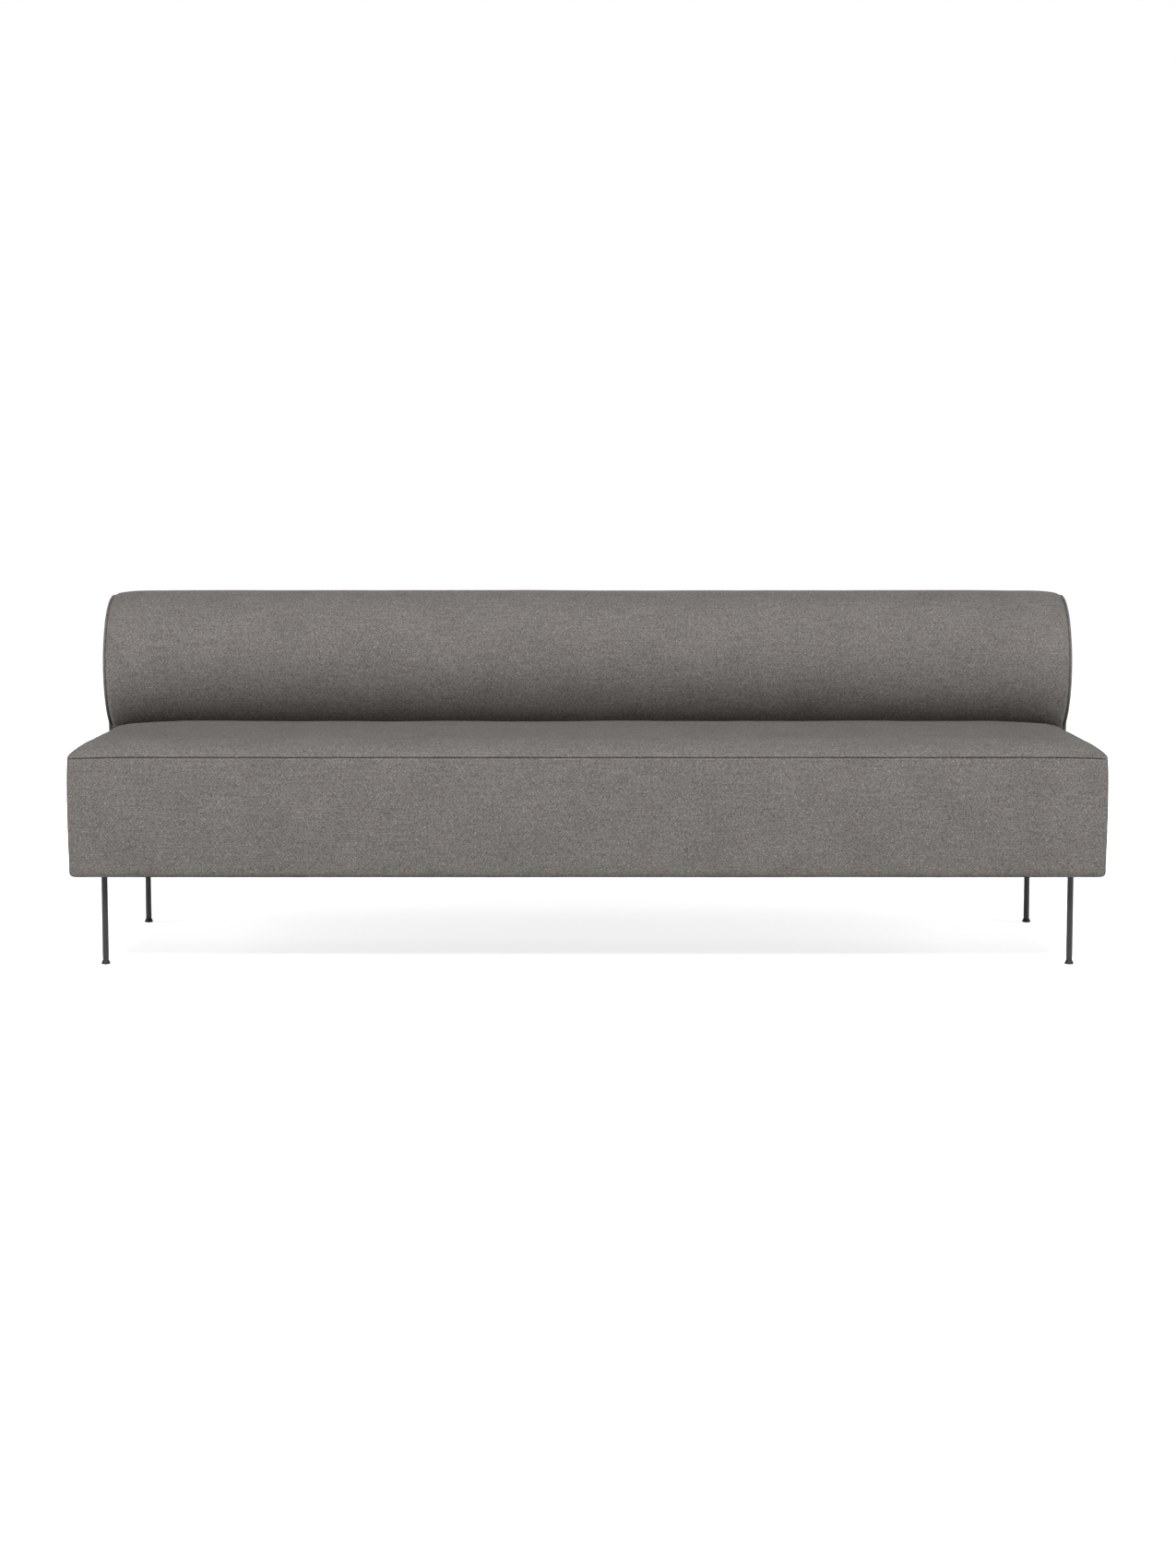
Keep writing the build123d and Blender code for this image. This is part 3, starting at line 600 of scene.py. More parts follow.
def add_piece(
    name: str,
    points: np.ndarray,
    faces: Sequence[Sequence[int]],
    uv: np.ndarray | None = None,
    near: np.ndarray | None = None,
    pinned: Sequence[int] = (),
) -> bpy.types.Object:
    """Makes a smooth closed mesh and its object.

    Args:
        name: the name of both.
        points: its points.
        faces: the numbers of each face's points.
        uv: for cloth, its map at each corner of each face.
        near: for cloth, metres of it from each point to the nearest sewn edge.
        pinned: the points that keep their place when it swells.

    Returns:
        The object.
    """
    mesh = bpy.data.meshes.new(name)
    mesh.from_pydata(points.tolist(), [], faces)
    if uv is not None:
        mesh.uv_layers.new(name=WEAVE_MAP).data.foreach_set("uv", uv.astype(np.float32).reshape(-1))
    if near is not None:
        mesh.attributes.new(SEAM, "FLOAT", "POINT").data.foreach_set("value", near.astype(np.float32))
    piece = add_object(name, mesh)
    if len(pinned):
        piece.vertex_groups.new(name="pinned").add(list(pinned), 1.0, "REPLACE")
    shape = bmesh.new()
    shape.from_mesh(mesh)
    bmesh.ops.remove_doubles(shape, verts=shape.verts, dist=WELD)
    loose = [v for v in shape.verts if not v.link_faces]
    bmesh.ops.delete(shape, geom=loose, context="VERTS")
    bmesh.ops.recalc_face_normals(shape, faces=shape.faces)
    shape.to_mesh(mesh)
    shape.free()
    mesh.shade_smooth()
    return piece


def tube_faces(rings: int, around: int, first: int = 0) -> list[list[int]]:
    """The sides and ends of a swept form.

    Args:
        rings: how many rings of points it has.
        around: how many points each has.
        first: the number of its first point.

    Returns:
        The numbers of each face's points, the two ends last.
    """
    index = first + np.arange(rings * around).reshape(rings, around)
    turned = np.roll(index, -1, axis=1)
    sides = np.stack([index[:-1], turned[:-1], turned[1:], index[1:]], axis=-1).reshape(-1, 4)
    return [*sides.tolist(), index[0].tolist(), index[-1].tolist()]


@dataclass
class Panel:
    """A sewn panel with its padding: a closed form with an outer face and an inner face.

    The two grids have the same rows and columns, and rings of points lead from the edge of the outer
    one to the edge of the inner one.
    """

    name: str
    outer: np.ndarray
    inner: np.ndarray
    rings: Sequence[np.ndarray] = ()
    sewn: tuple[bool, bool, bool, bool] = (True, True, True, True)  # first, last row; column
    folded: bool = False  # the last row meets itself, and has no edge there
    cloth: np.ndarray | None = None  # the flat cloth's own coordinates, where the rows don't follow it
    seed: float = 0.0
    sewing: Sewing = field(default_factory=Sewing)

    def seam_distance(self) -> np.ndarray:
        """Metres of cloth from each point of the outer face to the nearest sewn edge."""
        down, over = run_lengths(self.outer, 0), run_lengths(self.outer, 1)
        ways = [down, down[-1:] - down, over, over[:, -1:] - over]
        near = np.full(down.shape, NO_SEAM)
        for distance, is_sewn in zip(ways, self.sewn):
            if is_sewn:
                near = np.minimum(near, distance)
        return near

    def settle(self, normals: np.ndarray, wave: float = 0.0006) -> None:
        """Adds the slow unevenness of padding, and puckers along the seams.

        Args:
            normals: the outward direction at each point of the outer face.
            wave: the height of the unevenness.
        """
        near, sewing = self.seam_distance(), self.sewing
        clear = 1 - np.exp(-((near / sewing.wave_start) ** 2))
        sizes = (*sewing.wave_lengths, sewing.pucker_length / 2)
        long, short, fine = (smooth_noise(self.outer, size, self.seed + i) for i, size in enumerate(sizes))
        slow = long + sewing.wave_share * short
        close = np.exp(-near / sewing.pucker_reach) * np.clip(near / sewing.pucker_start, 0, 1)
        lift = wave * slow * clear + sewing.pucker * fine * close
        self.outer = self.outer + normals * lift[..., None]

    def edge(self, grid: np.ndarray) -> np.ndarray:
        """The points round a grid's edge, in order."""
        return np.concatenate([grid[0], grid[1:, -1], grid[-1, -2::-1], grid[-2:0:-1, 0]])

    def build(self) -> bpy.types.Object:
        """Makes the closed mesh, pinned at its seams and within."""
        rows, columns = self.outer.shape[:2]
        count = rows * columns
        index = np.arange(count).reshape(rows, columns)
        rim = self.edge(index[..., None])[:, 0]
        near = self.seam_distance()
        cloth = self.cloth
        if cloth is None:
            down, over = run_lengths(self.outer, 0), run_lengths(self.outer, 1)
            cloth = np.stack([over - over[:, -1:] / 2, down - down[-1:] / 2], axis=2)

        # Every ring, and the inner grid, takes its cloth from the outer grid.
        points = np.concatenate([self.outer.reshape(-1, 3), *self.rings, self.inner.reshape(-1, 3)])
        source = np.concatenate([index.reshape(-1), *[rim] * len(self.rings), index.reshape(-1)])
        starts = count + len(rim) * np.arange(len(self.rings) + 1)
        loops = [rim, *(start + np.arange(len(rim)) for start in starts[:-1]), rim + starts[-1]]

        corners = (index[:-1, :-1], index[:-1, 1:], index[1:, 1:], index[1:, :-1])
        face = np.stack([c.reshape(-1) for c in corners], axis=1)
        keep = np.ones(len(rim), bool)
        if self.folded:
            keep[columns + rows - 2 : 2 * columns + rows - 3] = False
        quads = [face, face[:, ::-1] + starts[-1]]
        for one, two in zip(loops, loops[1:]):
            quads.append(np.stack([np.roll(one, -1), one, two, np.roll(two, -1)], axis=1)[keep])
        faces = np.concatenate(quads)

        free = near > 1.5 * self.sewing.turn
        free[[0, -1]] = free[:, [0, -1]] = False
        pinned = np.setdiff1d(np.arange(len(points)), index[free]).tolist()
        uv = cloth.reshape(-1, 2)[source[faces]]
        return add_piece(self.name, points, faces.tolist(), uv, near.reshape(-1)[source], pinned)


@dataclass(frozen=True)
class Stuffing:
    """Padding that pushes a sewn panel out, found with a cloth simulation."""

    pressure: float = 1.5
    frames: int = 12
    limit: float = 0.0026  # the padding lets a point move no further than about this
    slack: float = 0.0006  # the cloth is cut this share larger than its padding

    def swell(self, piece: bpy.types.Object) -> None:
        """Lets the panel swell and wrinkle against its seams, and keeps the result in its mesh."""
        mesh = piece.data
        start = np.empty(len(mesh.vertices) * 3, np.float32)
        mesh.vertices.foreach_get("co", start)
        cloth = piece.modifiers.new("stuffing", "CLOTH")
        cloth.settings.quality = 4
        cloth.settings.mass = 0.35
        cloth.settings.tension_stiffness = 60
        cloth.settings.compression_stiffness = 60
        cloth.settings.shear_stiffness = 8
        cloth.settings.bending_stiffness = 1.5
        cloth.settings.use_pressure = True
        cloth.settings.uniform_pressure_force = self.pressure
        cloth.settings.shrink_min = -self.slack
        cloth.settings.vertex_group_mass = "pinned"
        cloth.settings.effector_weights.gravity = 0
        cloth.collision_settings.use_collision = False
        cloth.point_cache.frame_start = 1
        cloth.point_cache.frame_end = self.frames
        scene = bpy.context.scene
        for number in range(1, self.frames + 1):
            scene.frame_set(number)
        result = piece.evaluated_get(bpy.context.evaluated_depsgraph_get()).data
        end = np.empty_like(start)
        result.vertices.foreach_get("co", end)
        piece.modifiers.remove(cloth)
        scene.frame_set(1)
        move = (end - start).reshape(-1, 3)
        size = np.linalg.norm(move, axis=1, keepdims=True)
        held = self.limit * np.tanh(size / self.limit)
        move = move * np.divide(held, size, out=np.ones_like(size), where=size > 1e-9)
        mesh.vertices.foreach_set("co", (start.reshape(-1, 3) + move).reshape(-1))
        mesh.update()
        log.info("%s swelled by up to %.1f mm", piece.name, 1000 * float(size.max()))


def finish_piece(
    piece: bpy.types.Object, finish: Finish, replaced: Iterable[str] = (), levels: int = 1
) -> bpy.types.Object:
    """Dresses a piece, puts it on the sofa and says what it stands for.

    Args:
        piece: the piece.
        finish: its finish.
        replaced: the CAD nodes that it stands for.
        levels: how often its mesh is subdivided.

    Returns:
        The piece.
    """
    if levels:
        smooth = piece.modifiers.new("smooth", "SUBSURF")
        smooth.levels = smooth.render_levels = levels
    finish.dress(piece)
    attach(piece, "sofa")
    names = list(replaced)
    if names:
        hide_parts(*names)
    log.info("%s: %d faces, for %s", piece.name, len(piece.data.polygons), ", ".join(names) or "itself")
    return piece


# ---- Seat ---------------------------------------------------------------------------------------
@dataclass(frozen=True)
class SeatShape:
    """The seat's outer form: a rolled hem, borders that bulge a little, and a crowned top."""

    half_width: float = 1.0042  # the padding makes the cover a little fuller than its pattern
    half_depth: float = 0.3305
    underside: float = 0.177
    seam: float = 0.410
    edge_rise: float = 0.023
    edge_reach: float = 0.055
    side_share: float = 0.7  # the shoulder is this much narrower at the sides than at the front
    slope_start: float = math.radians(6)
    corner_drop: float = 0.0026  # the cover pulls its front corners down
    corner_reach: float = 0.06
    crown_rise: float = 0.012
    crown_reach: float = 0.2285
    bulge: float = 0.002
    corner: float = 0.013
    hem_turn: float = 0.009
    hem_width: float = 0.034
    crease: float = 0.1496  # where the top meets the back

    def outline(self, side: Side, inset: np.ndarray, run: np.ndarray) -> tuple[np.ndarray, np.ndarray]:
        """Points and outward directions in plan, along one side from its middle.

        Args:
            side: the side.
            inset: how far in from the widest outline.
            run: distance along the side from its middle, at an inset of one bulge.

        Returns:
            Points and directions, with x and y last.
        """
        front = side in (Side.FRONT, Side.REAR)
        half, out = (self.half_width, self.half_depth) if front else (self.half_depth, self.half_width)
        arc = self.corner * math.pi / 4
        keep = arc + 0.005
        whole = half - self.bulge - self.corner + arc
        here = half - inset - self.corner + arc
        size, sign = np.abs(run), np.sign(run)
        near_end = whole - size <= keep
        scaled = np.where(near_end, here - (whole - size), size * (here - keep) / (whole - keep))
        past = np.clip(scaled - (here - arc), 0, None) / self.corner
        along = sign * (np.minimum(scaled, here - arc) + self.corner * np.sin(past))
        outwards = out - inset - self.corner + self.corner * np.cos(past)
        x, y = side.place(along, outwards)
        dx, dy = side.place(sign * np.sin(past), np.cos(past))
        return np.stack([x, y], axis=-1), np.stack([dx, dy], axis=-1)

    def drop(self, x: np.ndarray, y: np.ndarray) -> np.ndarray:
        """How far the seam and the top are pulled down near the front corners."""
        away = np.hypot(self.half_width - np.abs(x), self.half_depth + y)
        return self.corner_drop * np.exp(-((away / self.corner_reach) ** 2))

    def side_length(self, side: Side) -> float:
        """Length of a side along its seam, from mitre to mitre."""
        half = self.half_width if side in (Side.FRONT, Side.REAR) else self.half_depth
        return 2 * (half - self.bulge - self.corner * (1 - math.pi / 4))

    def inset_at(self, x: np.ndarray, y: np.ndarray) -> np.ndarray:
        """How far in from the front seam a point lies, on rings that get rounder inwards."""
        low, high = np.zeros_like(x), np.full_like(x, self.half_depth)
        for _ in range(40):
            middle = (low + high) / 2
            radius = self.corner + self.side_share * np.minimum(middle, self.edge_reach)
            qx = np.abs(x) - (self.half_width - self.bulge - self.side_share * middle - radius)
            qy = np.abs(y) - (self.half_depth - self.bulge - middle - radius)
            outside = np.hypot(np.maximum(qx, 0), np.maximum(qy, 0)) + np.minimum(np.maximum(qx, qy), 0)
            inside = outside <= radius
            low, high = np.where(inside, middle, low), np.where(inside, high, middle)
        return low

    def top(self, x: np.ndarray, y: np.ndarray) -> np.ndarray:
        """Height of the crowned top."""
        inset = self.inset_at(x, y)
        start = self.slope_start
        turned = np.arccos(np.clip(1 - inset / self.edge_reach, 0, 1) * math.cos(start))
        edge = self.edge_rise * (np.sin(turned) - math.sin(start)) / (1 - math.sin(start))
        crown = np.full_like(edge, self.crown_rise)
        for place, half in ((x, self.half_width), (y, self.half_depth)):
            share = np.clip((half - self.bulge - np.abs(place)) / self.crown_reach, 0, 1)
            crown = crown * share * (2 - share)
        return self.seam + edge + crown


@dataclass
class SeatBorders:
    """The four padded borders: cover and rail padding, with a hem that turns under the frame."""

    shape: SeatShape
    finish: Finish
    lining: float = 0.0133  # from the widest outline to the inside of the padding
    cover: float = 0.0019
    lining_rise: float = 0.0002  # its top over the seam, under the back's foot
    lining_drop: float = 0.0003  # its top under the seam elsewhere, where the cushion covers it
    lining_gap: float = 0.0005  # from its ends to the mitres
    hem_shares: tuple[float, ...] = (0.0, 0.35, 0.7)  # places across the hem
    turn_angles: tuple[float, ...] = (0, 22.5, 45, 67.5)  # degrees round the hem's turn
    pitch: float = 0.010
    sewing: Sewing = field(default_factory=Sewing)
    stuffing: Stuffing = field(default_factory=lambda: Stuffing(limit=0.0012))

    def profile(self) -> tuple[np.ndarray, ...]:
        """The border in section, from the hem's inner edge up to the seam.

        Returns:
            Insets, heights, the outward and upward parts of the direction out of the cloth, and the
            sine of the fold at each point.
        """
        s = self.shape
        rows: list[tuple[float, float, float, float, float]] = []
        turn_inset = s.bulge + s.hem_turn
        for share in self.hem_shares:
            rows.append((s.hem_width + share * (turn_inset - s.hem_width), s.underside, 0.0, -1.0, 0.0))
        for angle in self.turn_angles:
            a = math.radians(angle)
            rows.append(
                (
                    s.bulge + s.hem_turn * (1 - math.sin(a)),
                    s.underside + s.hem_turn * (1 - math.cos(a)),
                    math.sin(a),
                    -math.cos(a),
                    0.0,
                )
            )
        low = s.underside + s.hem_turn
        places, folds = self.sewing.samples(s.seam - low, self.pitch, first=False)
        middle, half = (low + s.seam) / 2, (s.seam - low) / 2
        for place, fold in zip(places, folds):
            z = low + place
            t = (z - middle) / half
            slope = 2 * s.bulge * t / half
            size = math.hypot(1, slope)
            rows.append((s.bulge * t * t, z, 1 / size, slope / size, fold))
        return tuple(np.array(column) for column in zip(*rows))

    def panel(self, side: Side) -> Panel:
        """One border as a panel, with its rows from the hem up."""
        inset, z, out, up, row_folds = self.profile()
        length = self.shape.side_length(side)
        runs, column_folds = self.sewing.samples(length, self.pitch)
        inset_grid, run_grid = np.meshgrid(inset, runs - length / 2, indexing="ij")
        plan, direction = self.shape.outline(side, inset_grid, run_grid)
        depth = self.sewing.depth(row_folds, column_folds)
        normals = np.concatenate(
            [direction * out[:, None, None], np.broadcast_to(up[:, None, None], (*depth.shape, 1))], axis=2
        )
        face = np.concatenate([plan, np.broadcast_to(z[:, None, None], (*depth.shape, 1))], axis=2)
        face = face - normals * depth[..., None]
        height = (z - self.shape.underside) / (self.shape.seam - self.shape.underside)
        face[..., 2] -= self.shape.drop(face[..., 0], face[..., 1]) * height[:, None] ** 3

        deep = np.maximum(inset, self.lining)
        ends = np.sign(run_grid) * np.minimum(np.abs(run_grid), length / 2 - self.lining_gap)
        inner_plan, _ = self.shape.outline(side, np.broadcast_to(deep[:, None], depth.shape), ends)
        # Under the back the lining comes up against its foot, elsewhere it stays under the cushion.
        rise = np.where(inner_plan[..., 1] > self.shape.crease, self.lining_rise, -self.lining_drop)
        inner_z = np.clip(z, self.shape.underside + self.cover, self.shape.seam - self.lining_drop)
        inner_z = np.tile(inner_z[:, None], (1, len(runs)))
        inner_z[-1] = self.shape.seam + rise[-1]
        inner = np.dstack([inner_plan, inner_z])
        made = Panel(
            f"{side.name.lower()}_border",
            face,
            inner,
            sewn=(False, True, True, True),
            seed=2.0 + list(Side).index(side),
            sewing=self.sewing,
        )
        made.settle(normals)
        return made

    def build(self) -> None:
        """Makes, swells and dresses the four borders."""
        for side in Side:
            name = side.name.lower()
            piece = self.panel(side).build()
            self.stuffing.swell(piece)
            finish_piece(piece, self.finish, (f"{name}_panel", f"rail_padding_{name}"))


@dataclass
class SeatCushion:
    """The top of the seat: its cover, wadding and foam, crowned and tucked under the back."""

    shape: SeatShape
    finish: Finish
    back: "BackShape"
    foam_bottom: float = 0.3216
    wall_inset: float = 0.0145
    wall_drop: float = 0.0025  # the foam's upper edge under the seam
    tuck: float = 0.003  # thickness of the edge that is tucked under the back
    back_gap: float = 0.0006
    close: tuple[float, ...] = (0.007, 0.010, 0.014, 0.018, 0.023, 0.030)  # rows over the shoulder
    step: float = 0.0005  # for slopes
    pitch: float = 0.010
    sewing: Sewing = field(default_factory=Sewing)
    stuffing: Stuffing = field(default_factory=lambda: Stuffing(limit=0.0022))

    def panel(self) -> Panel:
        """The cushion as a panel, with its rows from the front seam to the crease."""
        s = self.shape
        half_x, half_y = s.half_width - s.bulge, s.half_depth - s.bulge
        xs, column_folds = self.sewing.samples(2 * half_x, self.pitch, close=self.close)
        ys, row_folds = self.sewing.samples(half_y + s.crease, self.pitch, last=False, close=self.close)
        y, x = np.meshgrid(ys - half_y, xs - half_x, indexing="ij")

        # Round the plan's corners.
        a = np.clip((np.abs(x) - (half_x - s.corner)) / s.corner, 0, 1)
        b = np.clip((-y - (half_y - s.corner)) / s.corner, 0, 1)
        x = np.sign(x) * (np.abs(x) - s.corner * a * (1 - np.sqrt(1 - b * b / 2)))
        y = y + s.corner * b * (1 - np.sqrt(1 - a * a / 2))

        step = self.step
        slope_x = s.inset_at(x + step, y) - s.inset_at(x - step, y)
        slope_y = s.inset_at(x, y + step) - s.inset_at(x, y - step)
        size = np.maximum(np.hypot(slope_x, slope_y), 1e-9)
        outwards = np.stack([-slope_x / size, -slope_y / size, np.zeros_like(x)], axis=2)

        depth = self.sewing.depth(row_folds, column_folds)
        z = s.top(x, y)
        z = np.minimum(z, self.back.underside(y) - self.back_gap)
        face = np.stack([x, y, z], axis=2) - outwards * depth[..., None]
        face[..., 2] = np.maximum(face[..., 2], s.seam + self.sewing.gap) - s.drop(x, y)

        hx, hy = s.half_width - self.wall_inset, s.half_depth - self.wall_inset
        inner_x = np.clip(x, -hx, hx)
        inner_y = np.clip(y, -hy, s.crease)
        inner = np.stack([inner_x, inner_y, np.full_like(x, self.foam_bottom)], axis=2)
        under = np.stack([inner_x, inner_y, s.seam - self.wall_drop - s.drop(x, y)], axis=2)
        made = Panel(
            "seat_cushion", face, inner, sewn=(True, False, True, True), seed=1.0, sewing=self.sewing
        )
        under[-1, :, 2] = np.minimum(face[-1, :, 2] - self.tuck, s.seam)
        made.rings = [made.edge(under)]
        normals = np.zeros_like(face)
        normals[..., 2] = 1.0
        made.settle(normals, wave=0.0012)
        return made

    def build(self) -> None:
        """Makes, swells and dresses the cushion."""
        piece = self.panel().build()
        self.stuffing.swell(piece)
        finish_piece(piece, self.finish, ("top_panel", "seat_wadding", "seat_foam"))


# ---- Back ---------------------------------------------------------------------------------------
@dataclass(frozen=True)
class BackShape:
    """The back's outer form: a P in section, with a round front and top and a flat rear."""

    radius: float = 0.154
    roll_y: float = 0.234
    roll_z: float = 0.557
    rear_y: float = 0.328
    neck_y: float = 0.150
    foot_z: float = 0.410
    rear_corner: float = 0.062
    neck_fillet: float = 0.012
    end_x: float = 0.995
    draw_in: float = 0.007
    draw_in_length: float = 0.075
    turn: float = 0.012
    turn_angle: float = math.radians(60)
    flat_share: float = 0.3
    end_crown: float = 0.005
    end_crown_reach: float = 0.040
    end_crown_start: float = math.radians(20)
    core_inset: float = 0.0452  # from the cover to the timber, on the roll
    core_flat_inset: float = 0.0118
    core_end_x: float = 0.9845
    parts: tuple[float, float, float] = (0.233, 0.075, 0.443)  # lengths of the rear, its corner, the round
    hollow_count: int = 4  # points round the hollow under the round, and down the neck

    @property
    def turn_length(self) -> float:
        """Length of the cover's turn into its end seam."""
        return self.turn * math.sin(self.turn_angle)

    def underside(self, y: np.ndarray) -> np.ndarray:
        """Height of the back over the seat at a place in front of its neck."""
        circle = self.roll_z - np.sqrt(np.maximum(self.radius**2 - (y - self.roll_y) ** 2, 0))
        hollow_y = self.neck_y - self.neck_fillet
        reach = self.radius + self.neck_fillet
        hollow_z = self.roll_z - math.sqrt(reach**2 - (hollow_y - self.roll_y) ** 2)
        touch = hollow_y + self.neck_fillet * (self.roll_y - hollow_y) / reach
        fillet = hollow_z + np.sqrt(np.maximum(self.neck_fillet**2 - (y - hollow_y) ** 2, 0))
        under = np.where(y > touch, fillet, circle)
        return np.where(y < self.roll_y - self.radius, 1.0, under)

    def drawn_in(self, distance: float) -> float:
        """How far the roll is drawn in at a distance from its end seam."""
        past_turn = max(self.turn_length - distance, 0)
        slow = self.draw_in * max(1 - distance / self.draw_in_length, 0) ** 3
        return slow + self.turn - math.sqrt(self.turn**2 - past_turn**2)

    def section(
        self, inset: float, flat_inset: float, pitch: float, foot: float | None = None
    ) -> tuple[np.ndarray, np.ndarray]:
        """The P from its rear foot over the top to its front foot.

        Args:
            inset: how far the round is drawn in.
            flat_inset: how far the flat faces are drawn in.
            pitch: spacing of the points on the full-size section, which fixes their number.
            foot: height of the foot, if it isn't the seat's seam.

        Returns:
            Points and outward directions, with y and z last.
        """
        radius = self.radius - inset
        rear, neck = self.rear_y - flat_inset, self.neck_y + flat_inset
        corner = min(max(self.rear_corner - inset, 0.003), 0.9 * radius)
        corner_y = rear - corner
        corner_z = self.roll_z + math.sqrt((radius - corner) ** 2 - (corner_y - self.roll_y) ** 2)
        start = math.atan2(corner_z - self.roll_z, corner_y - self.roll_y)
        hollow = self.neck_fillet
        hollow_y = neck - hollow
        hollow_z = self.roll_z - math.sqrt((radius + hollow) ** 2 - (hollow_y - self.roll_y) ** 2)
        end = math.atan2(hollow_z - self.roll_z, hollow_y - self.roll_y) + 2 * math.pi
        foot_z = self.foot_z if foot is None else foot

        rear_count, corner_count, round_count = (round(part / pitch) for part in self.parts)
        few = self.hollow_count
        rise = foot_z + (corner_z - foot_z) * np.arange(rear_count) / rear_count
        fall = hollow_z + (foot_z - hollow_z) * np.arange(few) / (few - 1)
        arcs = (
            (corner_y, corner_z, corner, 0.0, start, corner_count, 1.0),
            (self.roll_y, self.roll_z, radius, start, end, round_count, 1.0),
            (hollow_y, hollow_z, hollow, end - math.pi, 0.0, few, -1.0),
        )
        points = [np.column_stack([np.full(rear_count, rear), rise])]
        ways = [np.tile([1.0, 0.0], (rear_count, 1))]
        for y, z, size, first, last, count, sign in arcs:
            a = first + (last - first) * np.arange(count) / count
            way = np.column_stack([np.cos(a), np.sin(a)])
            points.append(np.array([y, z]) + size * way)
            ways.append(sign * way)
        points.append(np.column_stack([np.full(few, neck), fall]))
        ways.append(np.tile([-1.0, 0.0], (few, 1)))
        return np.concatenate(points), np.concatenate(ways)


@dataclass
class BackRoll:
    """The long panel of the back with its foam, hollow for the timber inside."""

    shape: BackShape
    finish: Finish
    draw_shares: tuple[float, ...] = (1, 0.87, 0.74, 0.61, 0.49, 0.38, 0.28, 0.2)  # of draw_in_length
    turn_shares: tuple[float, ...] = (1, 0.8, 0.6, 0.42, 0.26, 0.12, 0)  # of turn_length
    # Past the end seam: outwards along X, and further drawn in.
    past_seam: tuple[tuple[float, float], ...] = ((0.0002, 0.0008), (-0.0004, 0.0014))
    lip: tuple[float, float] = (-0.0025, 0.0017)  # the cloth's edge inside the seam, in the same way
    wall: float = 0.0002  # from the timber's end to the inside of the foam's end
    pitch: float = 0.010
    sewing: Sewing = field(default_factory=Sewing)
    stuffing: Stuffing = field(default_factory=lambda: Stuffing(limit=0.0016))

    def places(self) -> list[tuple[float, float]]:
        """For each place along the back: its x and how far the roll is drawn in there."""
        s = self.shape
        straight = s.end_x - s.draw_in_length
        count = round(2 * straight / self.pitch)
        middle = [(-straight + 2 * straight * i / count, 0.0) for i in range(1, count)]
        near = [s.draw_in_length * share for share in self.draw_shares]
        near += [s.turn_length * share for share in self.turn_shares]
        right = [(s.end_x - d, s.drawn_in(d)) for d in near]
        right += [(s.end_x + out, s.drawn_in(0) + further) for out, further in self.past_seam]
        left = [(-x, draw) for x, draw in reversed(right)]
        return left + middle + right

    def panel(self) -> Panel:
        """The roll as a panel, with its rows from the rear foot over the top to the front foot."""
        s = self.shape
        faces, normals, cavity = [], [], []
        foot_gap = self.sewing.gap
        for x, draw in self.places():
            points, ways = s.section(draw, s.flat_share * draw, self.pitch)
            points[:, 1] = np.maximum(points[:, 1], s.foot_z + foot_gap)
            faces.append(np.column_stack([np.full(len(points), x), points]))
            normals.append(np.column_stack([np.zeros(len(points)), ways]))
            core, _ = s.section(s.core_inset, s.core_flat_inset, self.pitch)
            inner_x = max(min(x, s.core_end_x), -s.core_end_x)
            cavity.append(np.column_stack([np.full(len(core), inner_x), core]))
        face, normal, inner = (np.swapaxes(rows, 0, 1) for rows in map(np.array, (faces, normals, cavity)))
        # The foot's edges fold in to meet the seat.
        for row in (0, -1):
            face[row] -= normal[row] * self.sewing.turn
        # The cloth runs straight from end to end, and doesn't shear where the roll is drawn in.
        over, down = run_lengths(face, 1), run_lengths(face, 0)[:, [face.shape[1] // 2]]
        down = np.broadcast_to(down - down[-1] / 2, over.shape)
        made = Panel(
            "back_roll",
            face,
            inner,
            cloth=np.stack([over - over[:, -1:] / 2, down], axis=2),
            seed=8.0,
            sewing=self.sewing,
        )
        lip, wall = face.copy(), face.copy()
        for row in (0, -1):
            lip[row] = 0.8 * face[row] + 0.2 * inner[row]
            wall[row] = 0.5 * (face[row] + inner[row])
        draw = s.drawn_in(0) + self.lip[1]
        points, _ = s.section(draw, s.flat_share * draw, self.pitch)
        points[:, 1] = np.maximum(points[:, 1], s.foot_z + foot_gap)
        for column, way in ((0, -1), (-1, 1)):
            for grid, end_x in ((lip, s.end_x + self.lip[0]), (wall, s.core_end_x + self.wall)):
                grid[:, column] = np.column_stack([np.full(len(points), way * end_x), points])
        made.rings = [made.edge(lip), made.edge(wall)]
        made.settle(normal, wave=0.0010)
        return made

    def build(self) -> None:
        """Makes, swells and dresses the roll."""
        piece = self.panel().build()
        self.stuffing.swell(piece)
        finish_piece(piece, self.finish, ("back_panel", "back_foam"))


